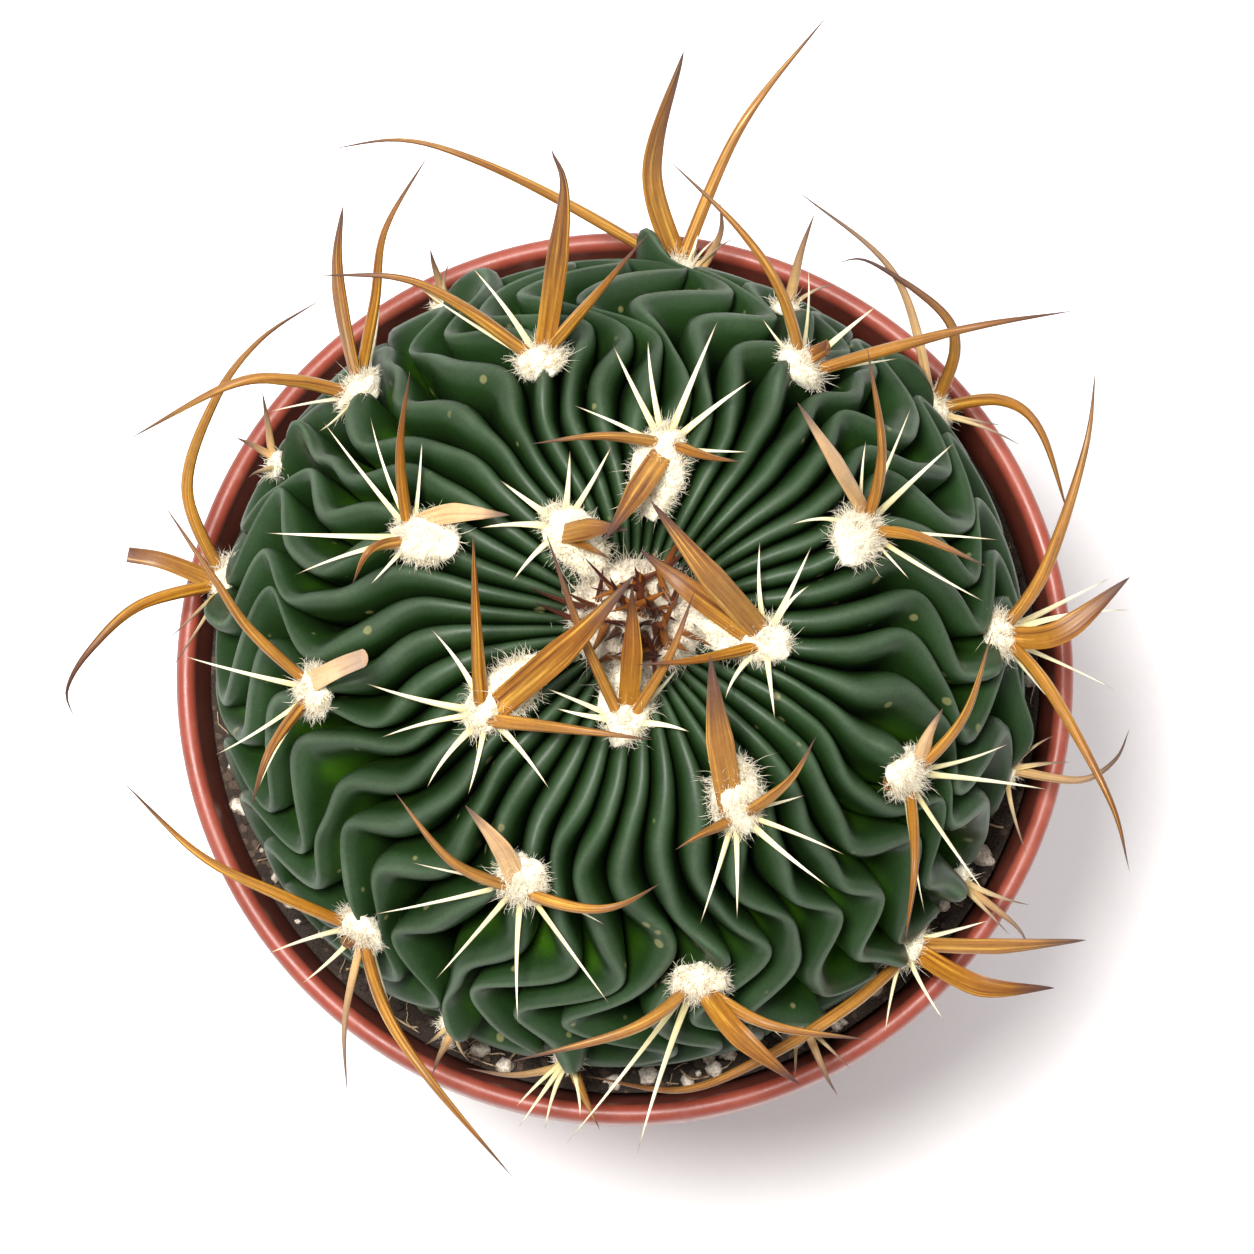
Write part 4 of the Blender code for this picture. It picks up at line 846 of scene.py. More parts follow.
def areole_frame(rib, length):
    """Crest point of an areole with its outward, side and crown directions."""
    here = stem_point(np.array(float(rib)), length, 1.0)
    above, below = (stem_point(np.array(float(rib)), length + step, 1.0) for step in (-1.2, 1.2))
    down = (below - above) / np.linalg.norm(below - above)
    radius, height, out, up = crest_at(length)
    centre = stem_centre(here[2])
    away = np.array([here[0] - centre[0], here[1] - centre[1], 0])
    away /= np.linalg.norm(away)
    normal = out * away + np.array([0, 0, up])
    side = np.cross(normal, down)
    side /= np.linalg.norm(side)
    normal = np.cross(down, side)
    return here, normal, side, -down


def spine_path(place, pixels, rise, arch, extra, count):
    """The spine's middle line: it starts inside the pad and follows the pixels at rising heights."""
    here, normal = place[:2]
    root = here + normal * (PAD_LIFT + 0.2)
    aim = over_pot(pixels[0], root[2]) - root
    aim = aim - normal * np.dot(aim, normal)
    aim *= min(1, ROOT_SPREAD / max(np.linalg.norm(aim), 1e-6))
    root = root + aim
    steps = np.concatenate([[0], np.cumsum([math.dist(a, b) for a, b in zip(pixels, pixels[1:])])])
    shares = steps / steps[-1]
    path = [root - normal * 0.5, root + normal * 0.35]
    for share, pixel in zip(shares[1:], pixels[1:]):
        height = root[2] + (rise + extra) * share**0.8 + arch * 4 * share * (1 - share)
        path.append(over_pot(pixel, height))
    return smooth_through(path, count)[1]


def face_way(path, normal):
    """The way a blade's flat face looks: across its chord, outwards and up."""
    chord = path[-1] - path[0]
    chord = chord / np.linalg.norm(chord)
    way = normal + np.array([0, 0, FACE_UP])
    way = way - chord * np.dot(way, chord)
    return way / np.linalg.norm(way)


def solid_points(node):
    """The solid's points in mm."""
    return np.array([v.co for v in frame["nodes"][node].data.vertices]) / MM


def strong_path(place, solid, spine, count):
    """The path whose tip is the one that the solid has."""
    kind, width, rise, arch, pixels = spine
    corners = 4 if kind == "stub" else 1
    best = None
    for step in range(-MOST_LIFT, MOST_LIFT + 1):
        path = spine_path(place, pixels, rise, arch, TRY_STEP * step, count)
        near = solid[np.argsort(np.linalg.norm(solid - path[-1], axis=1))[:corners]].mean(0)
        miss = np.linalg.norm(near - path[-1])
        if best is None or miss < best[0]:
            best = (miss, path)
    return best[1]


def radial_path(place, solid, pixel, count):
    """A straight needle to the tip that the solid has, or None where it has none."""
    here, normal = place[:2]
    seen = np.array([over_pot(pixel, z) for z in solid[:, 2]])
    gaps = np.linalg.norm(seen - solid, axis=1)
    if gaps.min() > MISSED:
        return None
    root = here + normal * PAD_LIFT
    tip = solid[gaps.argmin()]
    way = (tip - root) / np.linalg.norm(tip - root)
    root = root + (way - normal * np.dot(way, normal)) * 0.8
    return root + (tip - root) * np.linspace(0, 1, count)[:, None]


# %% [markdown]
# ## Colours of a spine
# A fresh spine is amber at the root and turns orange brown and then nearly purple at its tip, with fine
# lines along it. Old ones bleach to straw, and the thin radials are ivory with a hint of green below.
# Four marks tell the finish what to do: how far along, how dry, how pale and how much of the tip is dark.

# %% Finish: horn of the spines
def horn_finish():
    made, tree, shader = start_finish("amber horn", IOR=1.5, Specular_IOR_Level=0.26,
                                      Subsurface_Weight=0.10, Subsurface_Scale=0.0008)
    shader.inputs["Subsurface Radius"].default_value = (1.0, 0.45, 0.2)
    along, around, reach = mark(tree, "along"), mark(tree, "around"), mark(tree, "reach")
    dry, pale, dusk, own = mark(tree, "dry"), mark(tree, "pale"), mark(tree, "dusk"), mark(tree, "own")
    lines_at = box(tree, "CombineXYZ", X=times(tree, reach, 0.07), Y=times(tree, around, 16.0),
                   Z=times(tree, own, 40.0)).outputs[0]
    lines = box(tree, "TexNoise", Vector=lines_at, Scale=1.0, Detail=3.0, Roughness=0.6).outputs["Fac"]
    amber = ramp(tree, along, [(0.0, (0.24, 0.088, 0.003)), (0.30, (0.26, 0.102, 0.004)),
                               (0.62, (0.18, 0.062, 0.004)), (1.0, (0.070, 0.020, 0.008))])
    amber = blend(tree, remap(tree, lines, 0.50, 0.72, 0.0, 0.9), amber, (0.52, 0.28, 0.040, 1))
    amber = blend(tree, remap(tree, lines, 0.48, 0.32, 0.0, 0.9), amber, (0.085, 0.018, 0.002, 1))
    straw = ramp(tree, along, [(0.0, (0.62, 0.42, 0.19)), (0.6, (0.58, 0.38, 0.20)),
                               (1.0, (0.36, 0.24, 0.16))])
    straw = blend(tree, remap(tree, lines, 0.52, 0.30, 0.0, 0.6), straw, (0.30, 0.16, 0.07, 1))
    colour = blend(tree, dry, amber, straw)
    ivory = ramp(tree, along, [(0.0, (0.50, 0.40, 0.12)), (0.22, (0.74, 0.66, 0.36)),
                               (0.75, (0.86, 0.80, 0.60)), (1.0, (0.62, 0.46, 0.30))])
    ivory = blend(tree, remap(tree, lines, 0.55, 0.32, 0.0, 0.35), ivory, (0.48, 0.36, 0.15, 1))
    colour = blend(tree, pale, colour, ivory)
    tip_from = sums(tree, "SUBTRACT", 1.0, dusk)
    past = sums(tree, "SUBTRACT", along, tip_from)
    shade = box(tree, "Clamp", Value=sums(tree, "DIVIDE", past, sums(tree, "ADD", dusk, 0.001))).outputs[0]
    colour = blend(tree, sums(tree, "POWER", shade, 0.8), colour, (0.050, 0.026, 0.026, 1))
    mottled = mottled_tone(tree, colour, 5.0, 0.14, 0.5, 0.07)
    paint(tree, shader, mottled["Colour"], remap(tree, lines, 0.3, 0.7, 0.48, 0.34, "LINEAR"))
    rough_to(tree, shader, lines, 0.10, 0.6)
    return made


HORN = horn_finish()
print("finish:", HORN.name, len(HORN.node_tree.nodes), "nodes")

# %% Build the spines of each areole
STRONG_RINGS = 34
STRONG_SIDES = 10
RADIAL_WIDTH = 0.72
# How dry a spine is and how much of its tip is dark, by the numbers of its areole and its own.
DRIED = {(5, 1): 0.75, (7, 0): 0.8, (13, 1): 0.85, (14, 1): 1.0, (17, 1): 0.75, (21, 1): 0.9, (16, 3): 0.7,
         (22, 1): 0.6}
DUSKY_TIPS = {(20, 0): 0.4, (5, 0): 0.85, (23, 0): 0.95, (11, 1): 0.5, (15, 2): 0.5, (15, 0): 0.25,
              (6, 1): 0.3}
TIP_OF_KIND = {"thin": 0.7, "stub": 0.0}
GREY_AREOLES = (5, 15, 23, 24, 25, 26, 27, 28, 29, 30)
RADIAL_RINGS = 14
BEND, BEND_SHARE = 0.35, 0.6
SHARP_EDGE = 65


def taper(kind, shares):
    """Share of the full width along a spine."""
    if kind == "stub":
        return 1 - 0.25 * shares
    if kind == "radial":
        return (1 - shares) ** 0.85
    if kind == "flat":
        return (0.84 + 0.62 * shares * (1 - shares)) * np.clip((1 - shares) * 2.3, 0, 1) ** 0.75
    return np.clip(1 - shares**1.8, 0, 1)


def spine_marks(part, own, dry, pale, dusk, long):
    points, faces, marks = part
    marks["reach"] = marks["along"] * long
    for name, value in (("own", own), ("dry", dry), ("pale", pale), ("dusk", dusk)):
        marks[name] = np.full(len(points), value)
    return points, faces, marks


def make_spines(number, place, spines, tips):
    """All spines of one areole as one mesh."""
    draw = np.random.default_rng(100 + number)
    normal, solid = place[1], solid_points(f"areole_{number:02d}")
    parts = []
    shares = np.linspace(0, 1, STRONG_RINGS)
    old = number in GREY_AREOLES
    for index, spine in enumerate(spines):
        kind, width = spine[:2]
        path = strong_path(place, solid, spine, STRONG_RINGS)
        long = np.linalg.norm(np.diff(path, axis=0), axis=1).sum()
        wide = width * taper(kind, shares)
        if kind in ("flat", "stub"):
            thick, hollow = np.minimum(0.62, 0.30 * wide + 0.2) * np.minimum(1, wide / 0.4), 0.10
            way = face_way(path, normal)
        else:
            thick, hollow = wide * np.interp(shares, [0, 0.3], [0.72, 0.95]), 0.0
            way = normal
        part = tubes(path[None], wide[None], thick[None], [way], STRONG_SIDES, hollow, kind == "stub")
        dry = 0.65 if kind == "thin" else draw.uniform(0, 0.12)
        dusk = TIP_OF_KIND[kind] if kind in TIP_OF_KIND else draw.uniform(0.12, 0.3)
        dry, dusk = DRIED.get((number, index), dry), DUSKY_TIPS.get((number, index), dusk)
        parts.append(spine_marks(part, draw.random(), dry, 0.0, dusk, long))
    shares = np.linspace(0, 1, RADIAL_RINGS)
    for tip in tips:
        path = radial_path(place, solid, tip, RADIAL_RINGS)
        if path is None:
            continue
        bend = draw.normal(0, BEND, 3)
        path = path + bend * (4 * shares * (1 - shares))[:, None] * BEND_SHARE
        wide = RADIAL_WIDTH * draw.uniform(0.85, 1.1) * taper("radial", shares)
        part = tubes(path[None], wide[None], 0.7 * wide[None], [normal], 6)
        own = draw.random()
        pale, dusk = (0.35, 0.65) if old else (draw.uniform(0.85, 1), 0.12)
        parts.append(spine_marks(part, own, 0.5, pale, dusk, np.linalg.norm(path[-1] - path[0])))
    points, faces, marks = together(parts)
    return piece_from(f"spines_{number:02d}", points, faces, HORN, marks, creased=SHARP_EDGE)


PLACES = [areole_frame(rib, length) for rib, length, _ in FOUND]
for number, (place, (_, _, spines, tips)) in enumerate(zip(PLACES, AREOLES), 1):
    settle(make_spines(number, place, spines, tips), "spines", f"areole_{number:02d}")

# %% [markdown]
# ## Wool
# The cushion of an areole is felt: a dense mat of fine curled hairs, with a ragged edge.
# Particle hair would be quick, but it isn't mesh, so each hair here is a thin three-sided tube.
# A lumpy core fills the middle, and hairs grow out of it in all directions and curl at random.

# %% Finish: cream wool
def wool_finish(name, light, deep):
    made, tree, shader = start_finish(name, Roughness=0.85, Sheen_Weight=0.3,
                                      Subsurface_Weight=0.35, Subsurface_Scale=0.0012)
    shader.inputs["Subsurface Radius"].default_value = (1.0, 0.85, 0.6)
    along = mark(tree, "along")
    # Hairs are darker towards their roots: partly a tan colour, partly painted shade down in the mat.
    colour = ramp(tree, along, [(0.0, deep), (0.45, light), (1.0, light)])
    mottled = mottled_tone(tree, colour, 2.2, 0.08, 0.25, 0.06)
    paint(tree, shader, mottled["Colour"])
    rough_to(tree, shader, mottled["Height"], 0.25, 0.8)
    return made


WOOL = wool_finish("cream wool", (0.87, 0.775, 0.57), (0.72, 0.58, 0.34))
CROWN_WOOL = wool_finish("beige crown wool", (0.76, 0.64, 0.48), (0.46, 0.33, 0.22))

# %% A felt core and its hairs
YOUNG_AREOLES = 21


def felt(centre, axes, rings, sides, lump, seed):
    """A lumpy ellipsoid. axes are its three half axes as vectors."""
    points = []
    for k in range(rings + 1):
        polar = math.pi * k / rings
        for j in range(sides if 0 < k < rings else 1):
            turn = 2 * math.pi * j / sides
            way = (math.cos(turn) * math.sin(polar), math.sin(turn) * math.sin(polar), math.cos(polar))
            spot = sum(a * w for a, w in zip(axes, way))
            slow = noise.noise(Vector(way) * 1.7 + Vector((seed, 0, 0)))
            fine = noise.noise(Vector(way) * 5 + Vector((seed, 9, 0)))
            points.append(centre + spot * (1 + lump * slow + 0.5 * lump * fine))
    ring = np.arange(sides)
    after = (ring + 1) % sides
    last = len(points) - 1
    top = np.stack([np.zeros(sides, int), 1 + ring, 1 + after], 1)
    low = np.stack([np.full(sides, last), last - sides + after, last - sides + ring], 1)
    walls = ring_walls(rings - 1, sides, 1, flipped=True)
    return np.array(points), [walls, top, low], {"along": np.full(len(points), 0.6)}


def hairs(centre, axes, count, long, spread, draw, width, low=-0.25):
    """Curled hairs that start on an ellipsoid and lean by spread from its normal."""
    way = draw.normal(size=(count * 3, 3))
    way /= np.linalg.norm(way, axis=1)[:, None]
    way = way[way[:, 2] > low][:count]
    axes = np.array(axes)
    root = centre + way @ axes * 0.93
    unit = axes / (np.linalg.norm(axes, axis=1) ** 2)[:, None]
    out = way @ unit
    out /= np.linalg.norm(out, axis=1)[:, None]
    lean = draw.normal(size=out.shape) * spread
    grow = out + lean
    grow /= np.linalg.norm(grow, axis=1)[:, None]
    size = (long * draw.uniform(0.35, 1.0, len(root)) * draw.choice([1, 1, 1, 1.6], len(root)))[:, None]
    curl = draw.normal(size=out.shape) * 0.38
    curl_too = draw.normal(size=out.shape) * 0.30
    steps = []
    for t in (0, 0.34, 0.68, 1.0):
        steps.append(root + grow * size * t + curl * size * t * t + curl_too * size * math.sin(t * 3.1) * 0.5)
    paths = np.stack(steps, 1)
    wide = np.tile(width * np.array([1, 0.9, 0.6, 0.2]), (len(root), 1))
    return tubes(paths, wide, wide, draw.normal(size=out.shape), 3)


def pad_shape(place, wool):
    """Centre and half axes of the woolly pad: it reaches further towards the crown."""
    here, normal, side, inward = place
    centre = here + normal * PAD_LIFT + inward * wool * 0.5
    return centre, [inward * (PAD_HALF[0] + wool * 0.5), side * PAD_HALF[1], normal * PAD_HALF[2]]


def make_wool(number, place, wool):
    draw = np.random.default_rng(300 + number)
    centre, axes = pad_shape(place, wool)
    size, count, long = (0.62, 240, 0.8) if number > YOUNG_AREOLES else (1.12, int(800 + 130 * wool), 1.0)
    axes = [axis * size for axis in axes]
    parts = [felt(centre, axes, 14, 22, 0.22, number), hairs(centre, axes, count, long, 0.75, draw, 0.065)]
    points, faces, marks = together(parts)
    return piece_from(f"wool_{number:02d}", points, faces, WOOL, marks)


for number, (place, (_, wool, _, _)) in enumerate(zip(PLACES, AREOLES), 1):
    settle(make_wool(number, place, wool), "spines", f"areole_{number:02d}")

# %% [markdown]
# ## The crown
# New areoles form in the hollow on top. They are so close together that their wool makes one beige mat,
# and their spines, still dark red brown, stand in it like a tangle of thorns.
# The tips are read from the solid. Between them stand some shorter ones, placed by a seeded draw.

# %% Finish: young spines
def young_finish():
    made, tree, shader = start_finish("young dark horn", IOR=1.5)
    along, own = mark(tree, "along"), mark(tree, "own")
    deep = ramp(tree, along, [(0.0, (0.110, 0.030, 0.012)), (0.55, (0.055, 0.012, 0.007)),
                              (1.0, (0.016, 0.006, 0.006))])
    colour = blend(tree, remap(tree, own, 0.45, 0.9, 0.0, 0.9), deep, (0.27, 0.088, 0.012, 1))
    mottled = mottled_tone(tree, colour, 2.0, 0.25, 0.3, 0.15)
    paint(tree, shader, mottled["Colour"], remap(tree, mottled["Height"], 0.3, 0.7, 0.42, 0.30, "LINEAR"))
    rough_to(tree, shader, mottled["Height"], 0.06, 0.5)
    return made


YOUNG = young_finish()

# %% Build the crown
CROWN_MAT = (6.6, 5.8, 2.6)
CROWN_MAT_HEIGHT = 104.8
MORE_NEEDLES, MORE_REACH, MORE_LEAN, MORE_LONG = 35, 4.6, 0.55, (4, 8)
NEEDLE_WIDE = (0.75, 1.05)
TIP_FROM, TIP_APART, NECK_STEP = 1.35, 0.6, 0.2
crown_centre = np.array([*stem_centre(CROWN_MAT_HEIGHT), CROWN_MAT_HEIGHT])
crown_axes = [np.eye(3)[k] * size for k, size in enumerate(CROWN_MAT)]


def crown_tips():
    """Tips of the solid's needles, each with the place where it leaves the mat."""
    points = solid_points("crown")
    reach = np.linalg.norm((points - crown_centre) / CROWN_MAT, axis=1)
    near = {k: [] for k in range(len(points))}
    for edge in frame["nodes"]["crown"].data.edges:
        a, b = edge.vertices
        near[a].append(b)
        near[b].append(a)
    found = []
    for k in np.argsort(-reach):
        close = [np.linalg.norm(points[k] - tip) for _, tip in found]
        lower = [n for n in near[k] if reach[n] < reach[k] - NECK_STEP]
        if reach[k] > TIP_FROM and lower and (not close or min(close) > TIP_APART):
            found.append((points[lower].mean(0), points[k]))
    return found


def make_young_spines(draw):
    pairs = crown_tips()
    print("needles read from the solid:", len(pairs))
    for _ in range(MORE_NEEDLES):
        turn, reach = draw.uniform(0, 2 * math.pi), MORE_REACH * math.sqrt(draw.random())
        root = crown_centre + [reach * math.cos(turn), reach * math.sin(turn), 1.4]
        way = np.array([draw.normal(0, MORE_LEAN), draw.normal(0, MORE_LEAN), 1.0])
        pairs.append((root, root + way / np.linalg.norm(way) * draw.uniform(*MORE_LONG)))
    parts = []
    shares = np.linspace(0, 1, 14)[:, None]
    for root, tip in pairs:
        start = root + (root - tip) / np.linalg.norm(tip - root) * 0.6
        path = start + (tip - start) * shares + draw.normal(0, 0.2, 3) * 4 * shares * (1 - shares) * 0.5
        wide = draw.uniform(*NEEDLE_WIDE) * np.clip(1 - shares[:, 0] ** 1.5, 0, 1)
        part = tubes(path[None], wide[None], wide[None] * 0.8, [[0.3, 1, 0.1]], 7)
        part[2]["own"] = np.full(len(part[0]), draw.random())
        parts.append(part)
    points, faces, marks = together(parts)
    return piece_from("crown_spines", points, faces, YOUNG, marks)


def make_crown_wool(draw):
    inner = [a * 0.92 for a in crown_axes]
    mat = felt(crown_centre, inner, 22, 44, 0.16, 4)
    points, faces, marks = together([mat, hairs(crown_centre, inner, 2600, 1.7, 0.9, draw, 0.075, 0.0)])
    return piece_from("crown_wool", points, faces, CROWN_WOOL, marks)


settle(make_young_spines(np.random.default_rng(71)), "spines", "crown")
settle(make_crown_wool(np.random.default_rng(72)), "spines", "crown")

# %% [markdown]
# ## The pot
# A nursery pot is blown or moulded from thin polypropylene in the colour of clay. It tapers, its lip is
# rolled outwards, and water leaves through holes in the floor. The profile is turned in many steps here,
# with a rounded lip and a foot ring, and the holes are cut with a Boolean modifier that is applied at once.

# %% Finish: terracotta plastic
RIM_RADIUS = 42.5
BASE_RADIUS = 30.0
WALL = 1.2
LIP_STEP = 0.9


def clay_finish():
    made, tree, shader = start_finish("terracotta plastic", IOR=1.48,
                                      Subsurface_Weight=0.04, Subsurface_Scale=0.002)
    place = box(tree, "TexCoord").outputs["Object"]
    height = box(tree, "SeparateXYZ", Vector=place).outputs["Z"]
    mottled = mottled_tone(tree, (0.24, 0.045, 0.027, 1), 14.0, 0.07, 0.5, 0.05)
    worn = box(tree, "TexNoise", Vector=place, Scale=260.0, Detail=5.0, Roughness=0.7).outputs["Fac"]
    lip = times(tree, remap(tree, height, 0.0738, 0.0750), remap(tree, worn, 0.42, 0.66, 0.0, 0.45))
    colour = blend(tree, lip, mottled["Colour"], (0.30, 0.08, 0.050, 1))
    # Painted shade: the inner wall below the lip is darkened, where shade falls inside the pot.
    sides = box(tree, "SeparateXYZ", Vector=place).outputs
    level = box(tree, "CombineXYZ", X=sides["X"], Y=sides["Y"], Z=0.0).outputs[0]
    radius = box(tree, "VectorMath", {"operation": "LENGTH"}, Vector=level).outputs["Value"]
    slope = (RIM_RADIUS - LIP_STEP - BASE_RADIUS) / POT_HEIGHT
    inward = sums(tree, "SUBTRACT", sums(tree, "MULTIPLY_ADD", height, slope, BASE_RADIUS * MM), radius)
    inner_wall_shade = times(tree, remap(tree, inward, 0.0005, 0.0010), remap(tree, height, 0.0749, 0.0735))
    colour = blend(tree, times(tree, inner_wall_shade, 0.8), colour, (0.075, 0.024, 0.016, 1))
    dust = speck_mask(tree, 1.6, 0.30, 0.10)
    colour = blend(tree, times(tree, dust, 0.07), colour, (0.30, 0.22, 0.17, 1))
    paint(tree, shader, colour, remap(tree, worn, 0.3, 0.7, 0.36, 0.50, "LINEAR"))
    rings = box(tree, "TexWave", {"wave_type": "BANDS", "bands_direction": "Z"}, Vector=place,
                Scale=90.0, Distortion=0.4).outputs["Fac"]
    rough_to(tree, shader, sums(tree, "MULTIPLY_ADD", rings, 0.25, mottled["Height"]), 0.05, 0.35)
    return made


CLAY = clay_finish()

# %% Build the pot
FLOOR = 1.6
DRAIN_HOLES, DRAIN_RADIUS, DRAIN_RING = 6, 3.0, 20.0
POT_SIDES = 180
LIP_HEIGHT = 7.0
# The foot ring as (radius, height), and the lip as (how far inside the rim's radius, height on the lip).
FOOT = ((0, 0.7), (12, 0.7), (25.8, 0.7), (26.5, 0.35), (26.8, 0.02), (28.4, 0.0), (29.2, 0.15), (29.8, 0.6),
        (30.1, 1.4))
LIP = ((0.75, 0.2), (0.3, 0.4), (0.06, 0.9), (0, 1.8), (0, 4.6), (0.02, 5.9), (0.14, 6.45), (0.40, 6.82),
       (0.75, 6.98), (1.15, 6.98), (1.50, 6.82), (1.76, 6.45), (1.90, 5.8))


def wall_radius(height):
    """Outer radius of the pot's wall."""
    return BASE_RADIUS + (RIM_RADIUS - LIP_STEP - BASE_RADIUS) * height / POT_HEIGHT


def turned(profile, sides, ripple=None):
    """A profile of (radius, height, centre) turned round, closed at both ends. ripple gives extra height."""
    turn = 2 * math.pi * np.arange(sides) / sides
    rings = []
    for row, (radius, height, *centre) in enumerate(profile[1:-1], 1):
        up = ripple(row, turn) if ripple else 0
        rings.append(round_points(centre[0] if centre else (0, 0), radius, turn, height + up))
    ends = [[*(row[2] if len(row) > 2 else (0, 0)), row[1]] for row in (profile[0], profile[-1])]
    points = np.concatenate([*rings, ends])
    ring = np.arange(sides)
    after = (ring + 1) % sides
    low = np.stack([after, ring, np.full(sides, len(points) - 2)], 1)
    start = (len(rings) - 1) * sides
    top = np.stack([start + ring, start + after, np.full(sides, len(points) - 1)], 1)
    return points, [ring_walls(len(rings), sides), low, top]


def pot_profile():
    lip = POT_HEIGHT - LIP_HEIGHT
    outside = list(FOOT)
    outside += [(wall_radius(z), z) for z in np.linspace(4, lip - 1.6, 22)]
    outside += [(wall_radius(lip) + 0.0, lip - 0.35), (wall_radius(lip) + 0.35, lip + 0.05)]
    outside += [(RIM_RADIUS - back, lip + up) for back, up in LIP]
    inside = [(wall_radius(z) - WALL, z) for z in np.linspace(lip - 1.0, 4, 16)]
    inside += [(27.6, FLOOR + 0.5), (26.5, FLOOR), (12, FLOOR), (0, FLOOR)]
    return outside + [(RIM_RADIUS - 2.3, lip + 2.5)] + inside


def make_pot():
    pot = piece_from("nursery_pot", *turned(pot_profile(), POT_SIDES), CLAY, creased=50)
    cut = bpy.data.collections.new("drills")
    bpy.context.scene.collection.children.link(cut)
    for k in range(DRAIN_HOLES):
        turn = 2 * math.pi * (k + 0.5) / DRAIN_HOLES
        spot = (DRAIN_RING * math.cos(turn), DRAIN_RING * math.sin(turn))
        rows = [(0, -2, spot), (DRAIN_RADIUS, -2, spot), (DRAIN_RADIUS, 4, spot), (0, 4, spot)]
        drill = piece_from(f"drill_{k}", *turned(rows, 36), CLAY)
        bpy.context.scene.collection.objects.unlink(drill)
        cut.objects.link(drill)
    step = pot.modifiers.new("drain holes", "BOOLEAN")
    step.operand_type, step.collection, step.solver = "COLLECTION", cut, "EXACT"
    graph = bpy.context.evaluated_depsgraph_get()
    holed = bpy.data.meshes.new_from_object(pot.evaluated_get(graph))
    pot.modifiers.clear()
    pot.data = holed
    for drill in list(cut.objects):
        bpy.data.objects.remove(drill)
    bpy.data.collections.remove(cut)
    return pot


pot = make_pot()
settle(pot, "pot", "pot")

# %% [markdown]
# ## The soil
# Cactus soil is dark peat with pale pumice in it. The surface is crumbly, and dry roots and old fibres
# lie on it. The plug itself is turned like the pot, with its top pushed up and down by noise.
# Crumbs and grains are small separate stones: an icosphere, squashed and dented, for each of them.

# %% Finishes: peat, pumice and dry fibre
def grit_finish(name, colour, other, roughness, patch, bump):
    made, tree, shader = start_finish(name, Roughness=roughness)
    mottled = mottled_tone(tree, (*colour, 1), patch, 0.3, 0.25, 0.28)
    flecks = speck_mask(tree, 0.9, 0.42, 0.15)
    paint(tree, shader, blend(tree, flecks, mottled["Colour"], (*other, 1)))
    rough_to(tree, shader, mottled["Height"], bump, 0.9)
    return made


PEAT = grit_finish("dark peat", (0.030, 0.019, 0.013), (0.085, 0.055, 0.038), 0.95, 3.0, 0.5)
PUMICE = grit_finish("pale pumice", (0.62, 0.55, 0.46), (0.36, 0.29, 0.22), 0.9, 1.2, 0.25)
FIBRE = grit_finish("dry fibre", (0.36, 0.26, 0.16), (0.18, 0.11, 0.06), 0.8, 1.5, 0.1)
CORK = grit_finish("corky old skin", (0.42, 0.34, 0.21), (0.19, 0.14, 0.07), 0.85, 1.6, 0.3)

# %% Build the soil
SOIL_TOP = 70.5
SOIL_HOLE = 34.6
CLEAR = 0.3
BOWL = ((32.0, 66.6), (28.0, 63.9), (20, 61.6), (9, 60.5), (5, 59.2), (5, 45.4), (0, 45.4))
STONES_INNER, STONES_OUTER = 34.5, 39.0


def soil_height(x, y):
    """Bumps of the soil's top in mm."""
    spot = Vector((x, y, 0))
    return 0.75 * noise.noise(spot * 0.22) + 0.5 * noise.noise(spot * 0.7) + 0.28 * noise.noise(spot * 1.9)


def make_soil():
    sides = 300
    edge = wall_radius(SOIL_TOP) - WALL - CLEAR
    rings = np.linspace(edge, SOIL_HOLE, 26)
    profile = [(0, 1.9), (wall_radius(2) - WALL - CLEAR - 0.1, 1.9), (wall_radius(60) - WALL - CLEAR, 60.0)]
    bumpy = range(3, 3 + len(rings))
    profile += [(r, SOIL_TOP, tuple(np.array(STEM_CENTRE) * (edge - r) / (edge - SOIL_HOLE))) for r in rings]
    profile += [(radius, height, STEM_CENTRE) for radius, height in BOWL]

    def ripple(row, turn):
        if row not in bumpy:
            return 0
        radius = rings[row - 3]
        return np.array([soil_height(radius * math.cos(t), radius * math.sin(t)) for t in turn])

    points, faces = turned(profile, sides, ripple)
    return piece_from("potting_soil", points, faces, PEAT)


def stones(places, sizes, draw):
    """Dented stones at those places."""
    seed = bmesh.new()
    bmesh.ops.create_icosphere(seed, subdivisions=2, radius=1.0)
    ball = np.array([v.co for v in seed.verts])
    corners = np.array([[v.index for v in f.verts] for f in seed.faces])
    seed.free()
    parts = []
    for place, size in zip(places, sizes):
        squash = draw.uniform(0.6, 1.0, 3)
        shift = Vector(draw.uniform(-50, 50, 3))
        dent = np.array([1 + 0.45 * noise.noise(Vector(p) * 1.6 + shift) for p in ball])
        spin = np.linalg.qr(draw.normal(size=(3, 3)))[0]
        parts.append((place + (ball * squash * dent[:, None] * size) @ spin, [corners], {}))
    return together(parts)


def ring_places(count, draw, lift=0.0):
    """Places on the soil between the stem and the pot."""
    turn = draw.uniform(0, 2 * math.pi, count)
    radius = np.sqrt(draw.uniform(STONES_INNER**2, STONES_OUTER**2, count))
    x, y = radius * np.cos(turn), radius * np.sin(turn)
    return np.array([[a, b, SOIL_TOP + soil_height(a, b) + lift] for a, b in zip(x, y)])


def scatter(name, count, sizes, power, lift, finish, draw, creased=None):
    """Stones on the soil. A power over 1 makes small ones more common."""
    heap = stones(ring_places(count, draw, lift), draw.uniform(*sizes, count) ** power, draw)
    settle(piece_from(name, *heap[:2], finish, creased=creased), "soil", "soil")


settle(make_soil(), "soil", "soil")
draw = np.random.default_rng(81)
scatter("soil_crumbs", 620, (0.25, 0.75), 1, 0.0, PEAT, draw, creased=60)
scatter("pumice_grains", 110, (0.35, 1.25), 1.1, 0.25, PUMICE, draw)

# %% Corky remains between the ribs at the soil
CORK_UP, CORK_IN, CORK_SIZE = (0.3, 3.5), (0.2, 1.4), (0.5, 1.3)


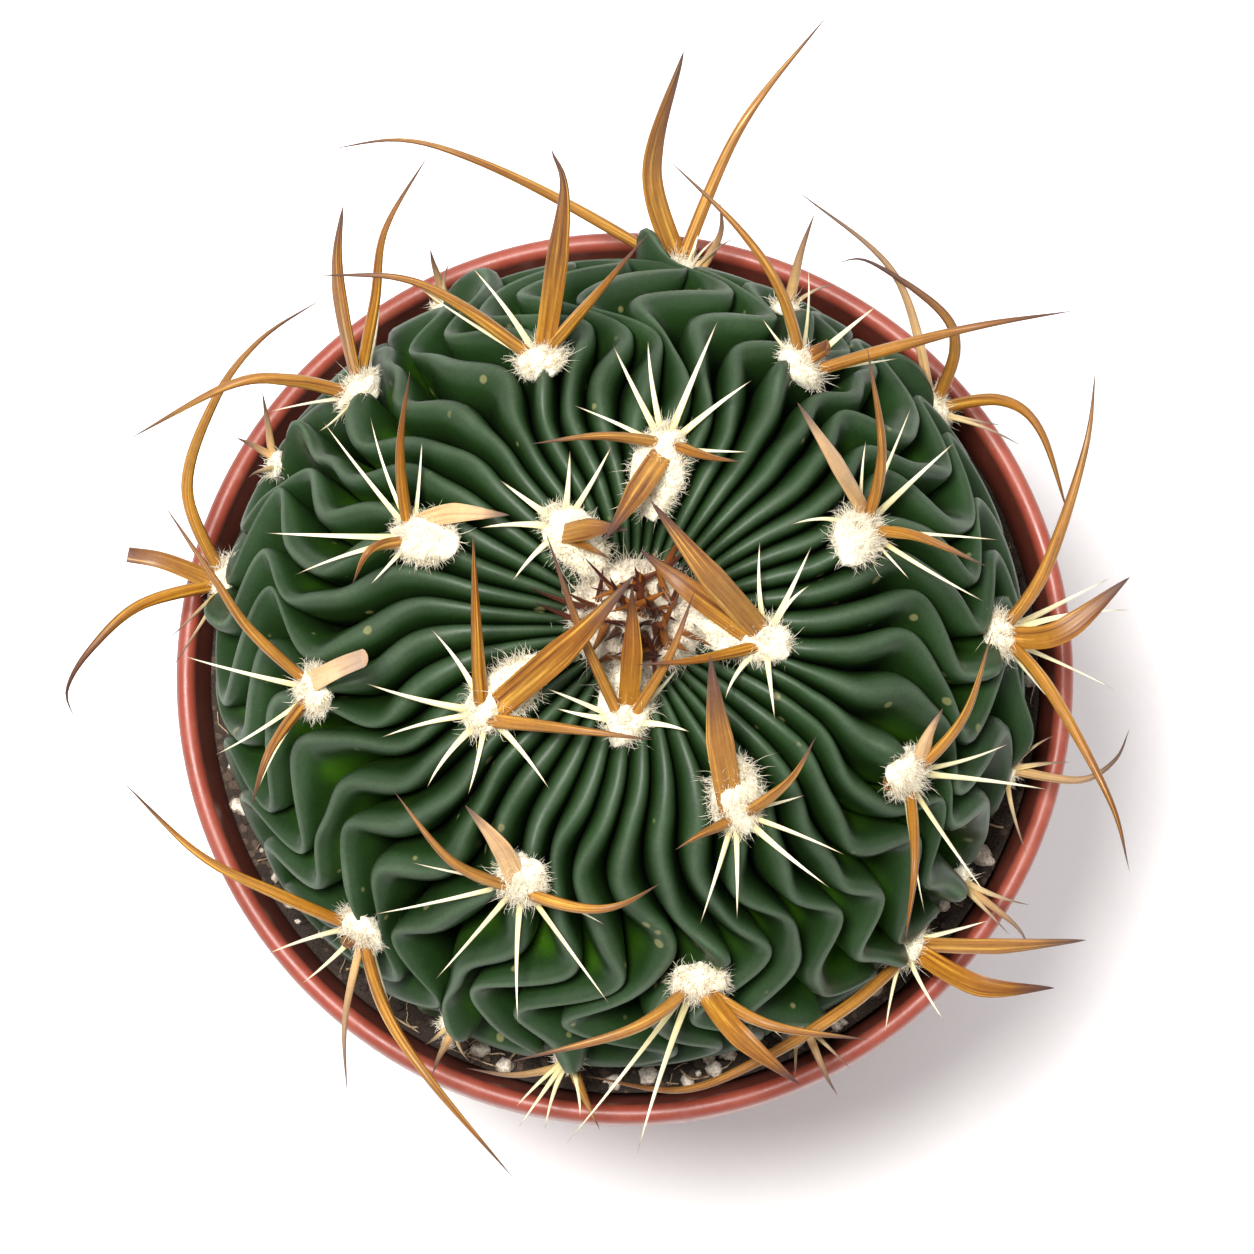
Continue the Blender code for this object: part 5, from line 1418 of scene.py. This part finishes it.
def make_cork(draw, count=70):
    """Scabs of old brown skin where the outer ribs meet the soil."""
    turn = draw.uniform(0, 2 * math.pi, count)
    height = draw.uniform(SOIL_TOP + CORK_UP[0], SOIL_TOP + CORK_UP[1], count)
    below = CREST_LINE[WIDEST:][::-1]
    radius = np.interp(height, below[:, 1], below[:, 0]) - draw.uniform(*CORK_IN, count)
    spots = round_points(STEM_CENTRE, radius, turn, height)
    return piece_from("corky_remains", *stones(spots, draw.uniform(*CORK_SIZE, count), draw)[:2], CORK)


settle(make_cork(np.random.default_rng(85)), "soil", "soil")

# %% Dry roots and old fibres
FIBRE_REACH = 38.9


def make_fibres(draw, count=90):
    start = ring_places(count, draw, lift=0.5)
    paths = []
    for spot in start:
        heading = draw.uniform(0, 2 * math.pi)
        path = [spot]
        for _ in range(11):
            heading += draw.normal(0, 0.35)
            step = np.array([math.cos(heading), math.sin(heading), 0]) * draw.uniform(0.3, 0.75)
            ahead = path[-1] + step
            reach = math.hypot(ahead[0], ahead[1])
            if reach > FIBRE_REACH:
                ahead[:2] *= FIBRE_REACH / reach
            ahead[2] = SOIL_TOP + soil_height(ahead[0], ahead[1]) + 0.45 + 0.3 * math.sin(len(path) * 0.9)
            path.append(ahead)
        paths.append(path)
    paths = np.array(paths)
    wide = np.tile(draw.uniform(0.10, 0.30, count)[:, None], (1, 12)) * np.linspace(1, 0.4, 12)
    points, faces, marks = tubes(paths, wide, wide, np.tile([0, 0, 1.0], (count, 1)), 5)
    return piece_from("root_fibres", points, faces, FIBRE, marks)


settle(make_fibres(np.random.default_rng(83)), "soil", "soil")

# %% [markdown]
# ## Floor
# A plain pale sheet under the pot, so its soft shadow can be seen. It isn't part of the object.

# %% Floor
def paper_finish():
    made, tree, shader = start_finish("white paper", Roughness=0.9)
    mottled = mottled_tone(tree, (0.93, 0.93, 0.935, 1), 60.0, 0.004, 0.8, 0.006)
    paint(tree, shader, mottled["Colour"])
    return made


FLOOR_HALF = 3000
corners = np.array([(-1, -1, 0), (1, -1, 0), (1, 1, 0), (-1, 1, 0)]) * FLOOR_HALF
floor = piece_from("floor", corners, [np.array([[0, 1, 2, 3]])], paper_finish())
